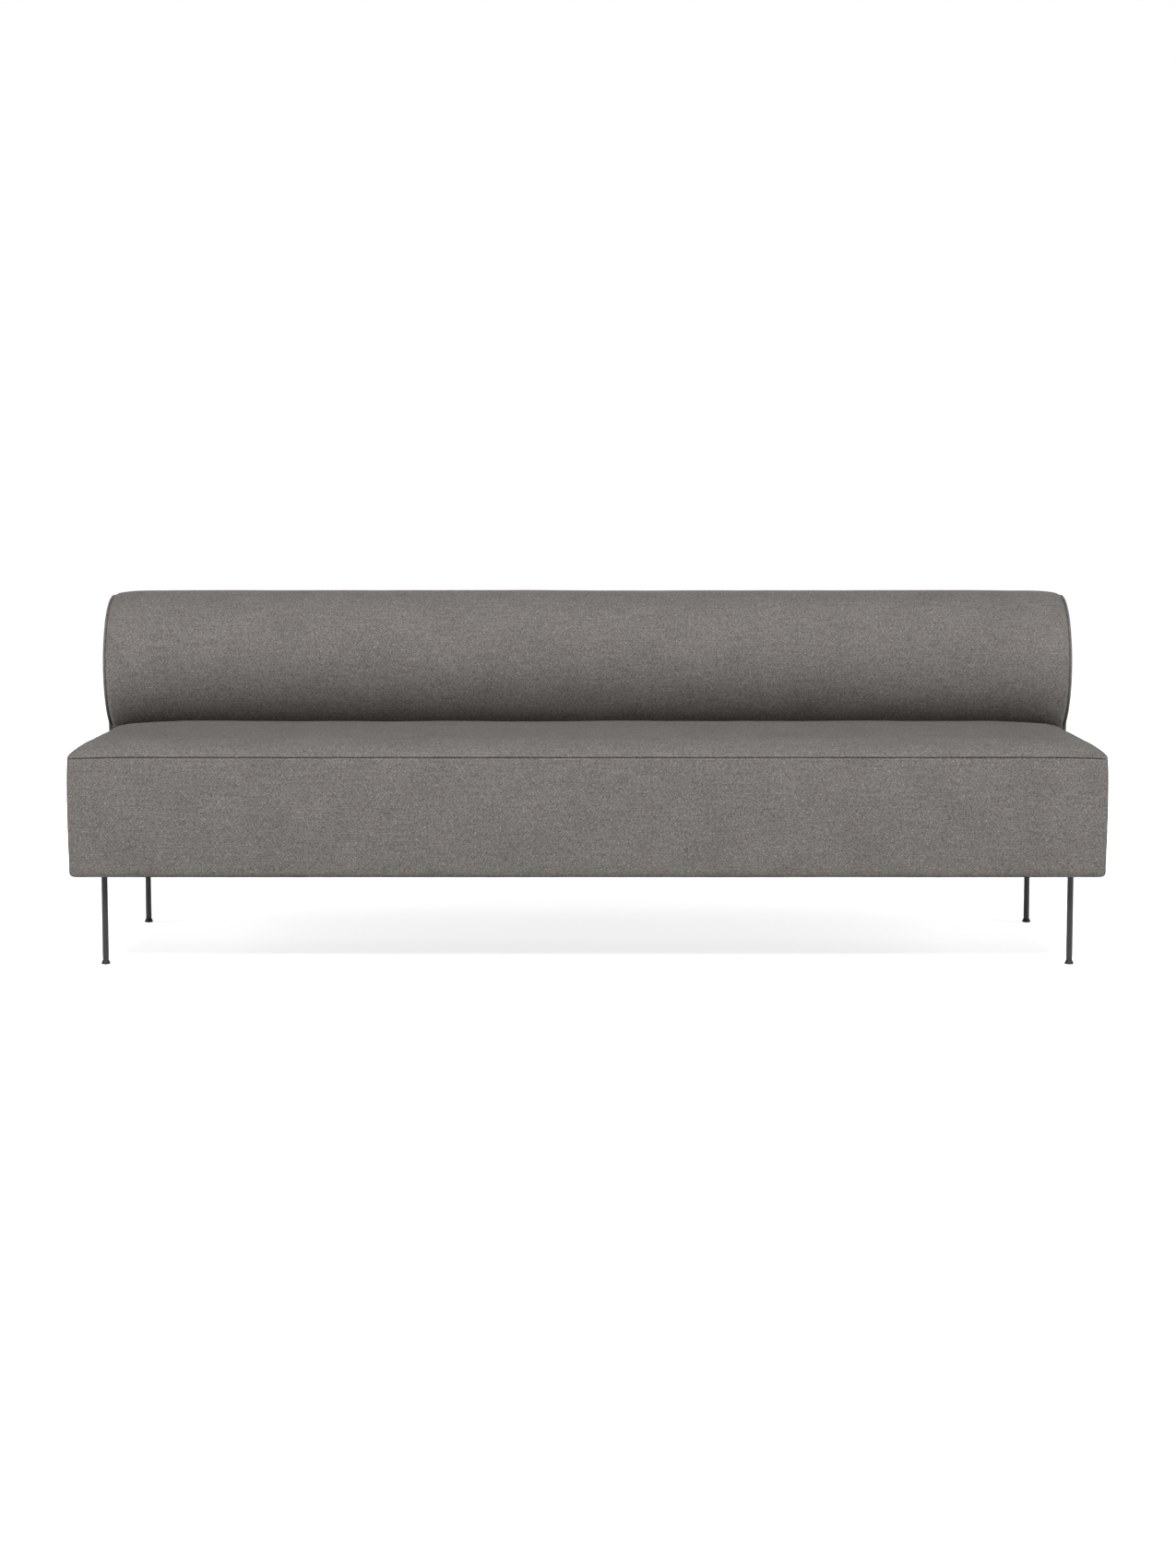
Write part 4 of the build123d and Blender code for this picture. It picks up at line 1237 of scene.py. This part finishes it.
@dataclass
class BackEnds:
    """The end panels with their pads, and the self-piping round their seams."""

    shape: BackShape
    finish: Finish
    pitch: float = 0.010
    inside: float = 0.985
    start: float = 0.0019  # from the roll's edge to the panel's
    close_rows: tuple[float, float] = (0.012, 0.004)  # width and pitch of the rows next to the seam
    crown_rows: tuple[float, ...] = (0.019, 0.026, 0.033, 0.040)
    middle_shares: tuple[float, ...] = (0.25, 0.5, 0.75, 1.0)  # from the crown's last row to its middle line
    spine_count: int = 14
    piping_radius: float = 0.0025
    piping_pitch: float = 0.005
    piping_waver: float = 0.00012  # its radius isn't quite even
    piping_start: tuple[float, float] = (0.19, 0.4135)  # it starts above the seat's rear seam
    piping_gap: float = 0.0005
    piping_angles: tuple[float, ...] = (205, 180, 150, 120, 90, 60, 30, 0, -30, -60, -90, -125)
    piping_near: tuple[float, float] = (0.01, 0.0016)  # its distance from the seam, on top and at the fold
    # The piping's cloth runs on from its cord into the seam: outwards and along X from its centre.
    tail: tuple[tuple[float, float], ...] = (
        (-0.00266, -0.00149),
        (-0.00346, -0.00201),
        (-0.00371, -0.00441),
        (-0.00391, -0.00441),
        (-0.00366, -0.00181),
        (-0.00251, -0.00116),
    )
    sewing: Sewing = field(default_factory=lambda: Sewing(turn=0.0014, pucker=0.00025))
    stuffing: Stuffing = field(default_factory=lambda: Stuffing(limit=0.0014))

    def crown(self, run: float) -> float:
        """How far the end panel stands out, a distance in from its seam."""
        s = self.shape
        start = s.end_crown_start
        turned = math.acos(max(1 - run / s.end_crown_reach, 0) * math.cos(start))
        return s.end_crown * (math.sin(turned) - math.sin(start)) / (1 - math.sin(start))

    def spine(self, points: np.ndarray) -> np.ndarray:
        """The line that the rings close on, a point for each point of a ring."""
        s = self.shape
        middle = (s.rear_y + s.neck_y) / 2
        heights = np.linspace(s.foot_z, s.roll_z, self.spine_count + 1)
        index = np.minimum(np.arange(len(points)), np.arange(len(points))[::-1])
        z = heights[np.minimum(index, self.spine_count)]
        return np.column_stack([np.full(len(points), middle), z])

    def panel(self, end: End) -> Panel:
        """An end panel, with its rows from the seam to the middle."""
        s, way = self.shape, end.value
        seam = s.drawn_in(0)
        flat_seam = s.flat_share * seam
        runs = [(self.start + p, f) for p, f in zip(*self.sewing.samples(*self.close_rows, last=False))]
        runs += [(run, 0.0) for run in self.crown_rows]
        rows = []
        for run, fold in runs:
            points, _ = s.section(seam + run, flat_seam + run, self.pitch)
            depth = self.sewing.turn * (1 - math.sqrt(max(1 - fold * fold, 0)))
            x = way * (s.end_x + self.crown(run) - depth)
            rows.append(np.column_stack([np.full(len(points), x), points]))
        last = rows[-1]
        spine = self.spine(last)
        for share in self.middle_shares:
            blend = last[:, 1:] * (1 - share) + spine * share
            rows.append(np.column_stack([last[:, 0], blend]))
        face = np.array(rows)
        face[..., 2] = np.maximum(face[..., 2], s.foot_z + self.sewing.gap)
        inner = np.array(face)
        inner[..., 0] = way * self.inside
        normals = np.zeros_like(face)
        normals[..., 0] = way
        made = Panel(
            f"end_pad_{end.name.lower()}",
            face,
            inner,
            sewn=(True, False, False, False),
            folded=True,
            cloth=face[..., 1:] * np.array([way, 1.0]),
            seed=12.0 + way,
            sewing=self.sewing,
        )
        made.settle(normals, wave=0.0007)
        return made

    def piping(self, end: End) -> bpy.types.Object:
        """The cord in its strip of cover, cut on the bias, from the rear foot to the seat."""
        s, way = self.shape, end.value
        offset = (self.piping_radius + self.sewing.gap) / math.sqrt(2)
        draw = s.drawn_in(0)
        points, ways = s.section(draw - offset, s.flat_share * draw - offset, self.piping_pitch)
        shown = (points > self.piping_start).any(axis=1)
        centre, outward = points[shown], ways[shown]
        centre[0, 1] += self.piping_gap
        angles = [math.radians(a) for a in self.piping_angles]
        rows = []
        for i, (p, w) in enumerate(zip(centre, outward)):
            waver = noise.noise(Vector((i * 0.7, way * 3.1, 0.5)))
            size = self.piping_radius + self.piping_waver * waver
            profile = [(math.cos(a) * size, math.sin(a) * size) for a in angles] + list(self.tail)
            outs, sides = np.array([*profile, profile[0]]).T
            x = way * (s.end_x + offset + sides)
            rows.append(np.column_stack([x, p[0] + w[0] * outs, p[1] + w[1] * outs]))
        grid = np.array(rows)
        rings, around = grid.shape[0], grid.shape[1] - 1

        # The strip is cut on the bias, so its cloth map is turned by half a right angle.
        u, v = np.meshgrid(run_lengths(grid, 0)[:, 0], run_lengths(grid, 1)[0], indexing="ij")
        cloth = np.stack([u + v, v - u], axis=2) * math.sqrt(0.5)
        corners = [cloth[:-1, :-1], cloth[:-1, 1:], cloth[1:, 1:], cloth[1:, :-1]]
        uv = np.concatenate([np.stack(corners, axis=2).reshape(-1, 2), np.zeros((2 * around, 2))])
        close = np.full(around, self.piping_near[0])
        close[[0, len(angles) - 1]] = self.piping_near[1]
        close[len(angles) :] = 0.0
        points, near = grid[:, :-1].reshape(-1, 3), np.tile(close, rings)
        return add_piece(f"piping_cord_{end.name.lower()}", points, tube_faces(rings, around), uv, near)

    def build(self) -> None:
        """Makes, swells and dresses both ends."""
        for end in End:
            name = end.name.lower()
            pad = self.panel(end).build()
            self.stuffing.swell(pad)
            finish_piece(pad, self.finish, (f"end_panel_{name}", f"end_plug_{name}"))
            finish_piece(self.piping(end), self.finish, (f"piping_{name}",))


# ---- Webbing and dust cover ---------------------------------------------------------------------
@dataclass
class Webbing:
    """The elastic belts under the seat foam, woven over and under each other."""

    finish: Finish
    width: float = 0.060
    thick: float = 0.0016
    rise: float = 0.0021  # a belt over another, above one under it
    top: float = 0.317  # the rails' top
    lap: float = 0.018
    slope: float = 0.025  # over which a belt climbs onto another
    gap: float = 0.00005  # from the rails to the belts
    pitch: float = 0.012
    # The section: places across from the middle in half widths, and the edge's rounding in thicknesses.
    across: tuple[float, ...] = (-1, -0.985, -0.93, -0.5, 0, 0.5, 0.93, 0.985, 1)
    rounding: tuple[float, ...] = (0.5, 0.15, 0, 0, 0, 0, 0, 0.15, 0.5)
    rail_x: float = 0.964
    front_y: float = -0.294
    rear_y: float = 0.1255
    cross_count: int = 14
    long_count: int = 3

    def places(self, low: float, high: float, count: int) -> list[float]:
        """Centre lines of evenly spread belts."""
        return [low + (high - low) * (i + 1) / (count + 1) for i in range(count)]

    def belt(
        self, name: str, axis: Axis, centre: float, ends: tuple[float, float], over: list[float]
    ) -> Panel:
        """One belt.

        Args:
            name: its name.
            axis: the direction that it runs in.
            centre: where it lies across that.
            ends: the inner edges of the rails that it is stapled to.
            over: the places where it passes over another belt.

        Returns:
            The belt as a panel.
        """
        low, high = ends[0] - self.lap, ends[1] + self.lap
        along = np.linspace(low, high, max(int((high - low) / self.pitch), 8))
        lift = np.zeros_like(along)
        for place in over:
            near = np.clip((np.abs(along - place) - self.width / 2) / self.slope, 0, 1)
            lift = np.maximum(lift, self.rise * (0.5 + 0.5 * np.cos(np.pi * near)))
        across = self.width / 2 * np.array(self.across)
        edge = np.array(self.rounding) * self.thick
        run, side = np.meshgrid(along, across, indexing="ij")
        base = self.top + self.gap + np.broadcast_to(lift[:, None], run.shape)
        upper, lower = base + self.thick - edge, base + edge
        order = (run, side + centre) if axis is Axis.X else (side + centre, run)
        face = np.stack([*order, upper], axis=2)
        under = np.stack([*order, lower], axis=2)
        return Panel(name, np.swapaxes(face, 0, 1), np.swapaxes(under, 0, 1), sewn=(False,) * 4)

    def build(self) -> None:
        """Makes both sets of belts, one piece for each set."""
        cross_x = self.places(-self.rail_x, self.rail_x, self.cross_count)
        long_y = self.places(self.front_y, self.rear_y, self.long_count)
        cross = [
            self.belt("belt", Axis.Y, x, (self.front_y, self.rear_y), long_y[i % 2 :: 2])
            for i, x in enumerate(cross_x)
        ]
        long = [
            self.belt("belt", Axis.X, y, (-self.rail_x, self.rail_x), cross_x[(j + 1) % 2 :: 2])
            for j, y in enumerate(long_y)
        ]
        for name, belts, node in (
            ("cross_webbing", cross, "cross_belts"), ("long_webbing", long, "long_belts")
        ):
            pieces = [belt.build() for belt in belts]
            piece = pieces[0]
            with bpy.context.temp_override(
                active_object=piece, object=piece, selected_editable_objects=pieces
            ):
                bpy.ops.object.join()
            piece.name = piece.data.name = name
            finish_piece(piece, self.finish, (node,), levels=0)


@dataclass
class DustCover:
    """The thin cloth under the frame, folded at its edge, stapled, and sagging between rails."""

    cloth: Finish
    wire: Finish
    half_x: float = 0.984
    half_y: float = 0.314
    bottom: float = 0.1763
    thick: float = 0.0006
    fold_width: float = 0.022
    pitch: float = 0.016
    sag: float = 0.0035
    bay: float = 0.482  # between the cross rails, where it sags
    sag_start: float = 0.06  # from its edge
    ruffle: float = 0.0005
    ruffle_length: float = 0.09
    ruffle_start: float = 0.05
    draw: float = 0.0012  # the edge draws in between staples
    draw_reach: float = 0.03
    fold_thick: float = 1.7  # thickness of the folded edge, in single ones
    leg_x: float = 0.941
    leg_y: float = 0.271
    hole: float = 0.0066
    staple_pitch: float = 0.062
    staple_inset: float = 0.015
    staple_tilt: float = 0.12
    crown: float = 0.010
    bite: float = 0.0028
    wire_size: float = 0.0011

    def lines(self, half: float, leg: float) -> np.ndarray:
        """Grid lines across the cloth, three of them through each leg's hole."""
        special = [-half, -half + self.fold_width, -leg - self.hole, -leg, -leg + self.hole]
        special += [-value for value in reversed(special)]
        lines: list[float] = []
        for low, high in zip(special, special[1:]):
            count = max(round((high - low) / self.pitch), 1)
            lines += [low + (high - low) * i / count for i in range(count)]
        return np.array([*lines, special[-1]])

    def legs(self) -> Iterable[tuple[float, float]]:
        """The place of each leg's hole."""
        return product((-self.leg_x, self.leg_x), (-self.leg_y, self.leg_y))

    def piece(self) -> bpy.types.Object:
        """The cloth as a closed thin mesh with a hole for each leg."""
        xs, ys = self.lines(self.half_x, self.leg_x), self.lines(self.half_y, self.leg_y)
        flat_y, flat_x = np.meshgrid(ys, xs, indexing="ij")
        clear_x, clear_y = self.half_x - np.abs(flat_x), self.half_y - np.abs(flat_y)
        from_edge = np.minimum(clear_x, clear_y)
        # Between staples the folded edge draws in a little.
        along = np.where(clear_x < clear_y, flat_y, flat_x)
        draw = self.draw * (1 - np.cos(2 * np.pi * along / self.staple_pitch))
        draw = draw * np.clip(1 - from_edge / self.draw_reach, 0, 1)
        x, y = flat_x * (1 - draw / self.half_x), flat_y * (1 - draw / self.half_y)
        bays = np.abs(np.sin(np.pi * (flat_x / self.bay))) * np.clip(from_edge / self.sag_start, 0, 1)
        ruffle = smooth_noise(np.stack([x, y, x * 0], axis=2), self.ruffle_length, 21.0)
        drop = self.sag * bays + self.ruffle * ruffle * np.clip(from_edge / self.ruffle_start, 0, 1)
        z = self.bottom + self.thick - np.maximum(drop, -0.0001)
        for leg_x, leg_y in self.legs():
            dx, dy = flat_x - leg_x, flat_y - leg_y
            corner = (np.abs(np.abs(dx) - self.hole) < 1e-6) & (np.abs(np.abs(dy) - self.hole) < 1e-6)
            x = np.where(corner, leg_x + dx * math.sqrt(0.5), x)
            y = np.where(corner, leg_y + dy * math.sqrt(0.5), y)
        upper = np.stack([x, y, z], axis=2)
        lower = upper.copy()
        folded = from_edge < self.fold_width + 1e-6
        lower[..., 2] -= np.where(folded, self.fold_thick, 1) * self.thick
        piece = Panel("dust_cloth", lower, upper, sewn=(False,) * 4, seed=22.0).build()
        shape = bmesh.new()
        shape.from_mesh(piece.data)
        for leg in map(Vector, self.legs()):
            near = [v for v in shape.verts if (v.co.xy - leg).length < 0.3 * self.hole]
            bmesh.ops.delete(shape, geom=near, context="VERTS")
            rim = [e for e in shape.edges if e.is_boundary and (e.verts[0].co.xy - leg).length < 0.02]
            bmesh.ops.bridge_loops(shape, edges=rim)
        bmesh.ops.recalc_face_normals(shape, faces=shape.faces)
        shape.to_mesh(piece.data)
        shape.free()
        return piece

    def staple_places(self) -> list[tuple[float, float, bool]]:
        """For each staple its x, its y and whether it lies along X."""
        places = []
        for half, other, along_x in ((self.half_x, self.half_y, True), (self.half_y, self.half_x, False)):
            count = int((half - 0.02) / self.staple_pitch)
            for i, way in product(range(-count, count + 1), (-1, 1)):
                place, line = i * self.staple_pitch, way * (other - self.staple_inset)
                places.append((place, line, True) if along_x else (line, place, False))
        return places

    def staples(self) -> bpy.types.Object:
        """All staples as one mesh: bent wire crowns that bite into the cloth."""
        half, wire, around = self.crown / 2, self.wire_size, 8
        low = self.bottom - 0.7 * self.thick - wire * 0.7
        path = [(-half, self.bite), (-half, wire), (-half + 0.4 * wire, 0.3 * wire), (-half + wire, 0.0)]
        path = np.array(path + [(-u, z) for u, z in reversed(path)]) + (0.0, low)
        step = np.concatenate([path[1:2] - path[:1], path[2:] - path[:-2], path[-1:] - path[-2:-1]])
        normal = np.column_stack([-step[:, 1], step[:, 0]]) / np.hypot(*step.T)[:, None]
        turn = 2 * np.pi * (np.arange(around) + 0.5) / around
        across = np.cos(turn) * wire / 2
        up = path[:, None] + normal[:, None] * (np.sin(turn) * wire / 2)[None, :, None]
        rings, faces = [], []
        for number, (x, y, along_x) in enumerate(self.staple_places()):
            tilt = self.staple_tilt * noise.noise(Vector((number * 1.7, 0.3, 4.0)))
            c, s = math.cos(tilt), math.sin(tilt)
            c, s = (c, s) if along_x else (-s, c)
            place = [x + up[..., 0] * c - across * s, y + up[..., 0] * s + across * c, up[..., 1]]
            faces += tube_faces(len(path), around, number * len(path) * around)
            rings.append(np.stack(place, axis=-1).reshape(-1, 3))
        return add_piece("cover_staples", np.concatenate(rings), faces)

    def build(self) -> None:
        """Makes the cloth and its staples."""
        cloth = finish_piece(self.piece(), self.cloth, ("dust_cover",))
        staples = finish_piece(self.staples(), self.wire, levels=0)


# ---- CAD nodes that keep their shape ------------------------------------------------------------
def dress_nodes(finish: Finish, *nodes: str) -> None:
    """Gives a finish to some of the frame's own nodes.

    Args:
        finish: the finish.
        nodes: their names.
    """
    for name in nodes:
        finish.dress(frame["nodes"][name])
        log.info("%s: %s", name, finish.name)


@dataclass
class TimberFrame:
    """The rails, boards, ribs and battens, with the direction through their plies or along them."""

    plywood: tuple[tuple[Axis, tuple[str, ...]], ...] = (
        (Axis.X, ("left_rail", "right_rail", "ribs")),
        (Axis.Y, ("front_rail", "rear_rail", "middle_rail")),
        (Axis.Z, ("deck", "base_board")),
    )
    spruce: tuple[tuple[Axis, tuple[str, ...]], ...] = (
        (Axis.X, ("battens", "webbing_ledger")), (Axis.Y, ("cross_rails",)), (Axis.Z, ("corner_blocks",))
    )

    def build(self) -> None:
        """Dresses the timber."""
        for axis, nodes in self.plywood:
            dress_nodes(BirchPlywood(name=f"birch_plywood_{axis.name.lower()}", through=axis), *nodes)
        for axis, nodes in self.spruce:
            dress_nodes(PlanedSpruce(name=f"planed_spruce_{axis.name.lower()}", along=axis), *nodes)
        dress_nodes(Hardboard(), "rear_board", "neck_board")


@dataclass
class Metalwork:
    """The legs, their feet and glides, and every plate, nut, screw and bolt."""

    corners: tuple[str, ...] = ("front_left", "front_right", "rear_left", "rear_right")
    fixings: tuple[str, ...] = (
        "leg_plates", "leg_nuts", "plate_screws", "tee_nuts", "back_washers", "back_bolts"
    )

    def build(self) -> None:
        """Dresses the metal and the glides."""
        foot = PowderCoat(name="blackened_foot_steel", roughness=0.6, colour="1e1e1f")
        for kind, finish in (("leg", PowderCoat()), ("foot", foot), ("pad", MouldedNylon())):
            dress_nodes(finish, *(f"{kind}_{corner}" for corner in self.corners))
        dress_nodes(ZincPlate(), *self.fixings)


# ---- Studio -------------------------------------------------------------------------------------
@dataclass(frozen=True)
class Softbox:
    """A soft lamp."""

    name: str
    place: tuple[float, float, float]
    aim: tuple[float, float, float]
    size: tuple[float, float]
    power: float

    def build(self) -> None:
        """Makes the lamp."""
        lamp = bpy.data.lights.new(self.name, "AREA")
        lamp.shape = "RECTANGLE"
        lamp.size, lamp.size_y = self.size
        lamp.energy = self.power
        holder = add_object(self.name, lamp)
        holder.location = self.place
        way = Vector(self.aim) - Vector(self.place)
        holder.rotation_euler = way.to_track_quat("-Z", "Y").to_euler()


@dataclass
class Studio:
    """A pale floor, soft lamps, a white background and the camera."""

    camera_height: float = 0.9155
    camera_y: float = -5.718
    camera_x: float = 0.001
    pitch: float = math.radians(5.89)
    lens: float = 64.76
    reach: float = 14.0  # half the floor's width
    dome: float = 0.1  # strength of the surround overhead, which falls to nothing at the horizon
    softboxes: tuple[Softbox, ...] = (
        Softbox("softbox_front", (0.0, -3.5, 4.25), (0.0, 0.0, 0.45), (5.5, 1.4), 309.0),
        Softbox("softbox_rear", (0.0, 4.6, 2.1), (0.0, 0.2, 0.45), (5.5, 1.6), 145.0),
        Softbox("softbox_left", (-4.2, -1.0, 1.3), (0.0, 0.0, 0.4), (2.5, 1.8), 57.0),
        Softbox("softbox_right", (4.2, -1.0, 1.3), (0.0, 0.0, 0.4), (2.5, 1.8), 57.0),
    )

    def seen(self, add: Add, *kinds: str) -> bpy.types.NodeSocket:
        """1 for rays of some kinds, such as the camera's, and 0 for the rest.

        Args:
            add: adds a node.
            kinds: the kinds.

        Returns:
            The link.
        """
        rays = add("LightPath").node.outputs
        share = rays[f"Is {kinds[0]} Ray"]
        for kind in kinds[1:]:
            share = add("Math", {0: share, 1: rays[f"Is {kind} Ray"]}, operation="MAXIMUM")
        return share

    def floor(self) -> None:
        """A large plain floor, white to the camera and in gloss, which keeps the shadow."""
        mesh = bpy.data.meshes.new("studio_floor")
        corners = ((-1, -1), (1, -1), (1, 1), (-1, 1))
        mesh.from_pydata([(x * self.reach, y * self.reach, 0) for x, y in corners], [], [(0, 1, 2, 3)])
        floor = add_object("studio_floor", mesh)
        material = bpy.data.materials.new("matt_white_floor")
        add = empty_tree(material)
        space = add("TexCoord", out="Object")
        grain = add("TexNoise", {"Vector": space, "Scale": 300.0, "Detail": 2.0})
        level = add("MapRange", {"Value": grain, "To Min": 0.97, "To Max": 1.03})
        colour = add("HueSaturation", {"Value": level, "Color": linear("fafafa")})
        matt = add("BsdfDiffuse", {"Color": colour, "Roughness": 0.6})
        away = add("VectorMath", {0: space}, "Value", operation="LENGTH")
        fade = {"Value": away, "From Min": 1.0, "From Max": 3.0, "To Min": 0.74, "To Max": 1.0}
        seen = add("MapRange", fade, interpolation_type="SMOOTHSTEP")
        direct = self.seen(add, "Camera", "Glossy", "Transmission")
        seen = add("Math", {0: seen, 1: direct}, operation="MULTIPLY")
        glow = add("Emission", {"Strength": seen, "Color": linear("ffffff")})
        upper = add("AddShader", {0: matt, 1: glow})
        below = add("NewGeometry", out="Backfacing")
        surface = add("MixShader", {0: below, 1: upper, 2: add("BsdfTransparent")})
        add("OutputMaterial", {"Surface": surface})
        mesh.materials.append(material)
        # Where a foot is screwed out, the floor lies under it, and not through it.
        for body, empty in frame["bodies"].items():
            if body.startswith("leveller_"):
                under = floor.constraints.new("FLOOR")
                under.target = empty
                under.floor_location = "FLOOR_NEGATIVE_Z"

    def world(self) -> None:
        """A soft dome of light, white where the camera sees it."""
        world = bpy.data.worlds.new("studio_surround")
        bpy.context.scene.world = world
        add = empty_tree(world)
        way = add("TexCoord", out="Generated")
        height = add("SeparateXYZ", {0: way}).node.outputs["Z"]
        dome = add("MapRange", {"Value": height, "To Max": self.dome})
        strength = add("Mix", {0: self.seen(add, "Camera", "Transmission"), 2: dome, 3: 1.0})
        light = add("Background", {"Color": (1.0, 1.0, 1.0, 1.0), "Strength": strength})
        add("OutputWorld", {"Surface": light})

    def camera(self) -> None:
        """The camera, where the photograph was taken from."""
        data = bpy.data.cameras.new("studio_camera")
        data.lens = self.lens
        data.sensor_width = 36.0
        data.clip_end = 100.0
        holder = add_object("studio_camera", data)
        holder.location = (self.camera_x, self.camera_y, self.camera_height)
        holder.rotation_euler = (math.pi / 2 - self.pitch, 0.0, 0.0)
        bpy.context.scene.camera = holder

    def build(self) -> None:
        """Makes the studio."""
        self.camera()
        self.floor()
        self.world()
        for softbox in self.softboxes:
            softbox.build()
        bpy.context.scene.view_settings.view_transform = "Standard"


def main() -> None:
    """Builds the sofa's sub-assemblies in order, then the studio."""
    logging.basicConfig(level=logging.INFO, format="%(name)s: %(message)s")
    upholstery = WovenUpholstery()
    seat, back = SeatShape(), BackShape()
    SeatBorders(seat, upholstery).build()
    SeatCushion(seat, upholstery, back).build()
    BackRoll(back, upholstery).build()
    BackEnds(back, upholstery).build()
    Webbing(ElasticWebbing()).build()
    DustCover(SpunbondCloth(), ZincPlate(name="galvanised_staple_wire", roughness=0.4)).build()
    TimberFrame().build()
    Metalwork().build()
    Studio().build()


if __name__ == "__main__":
    main()
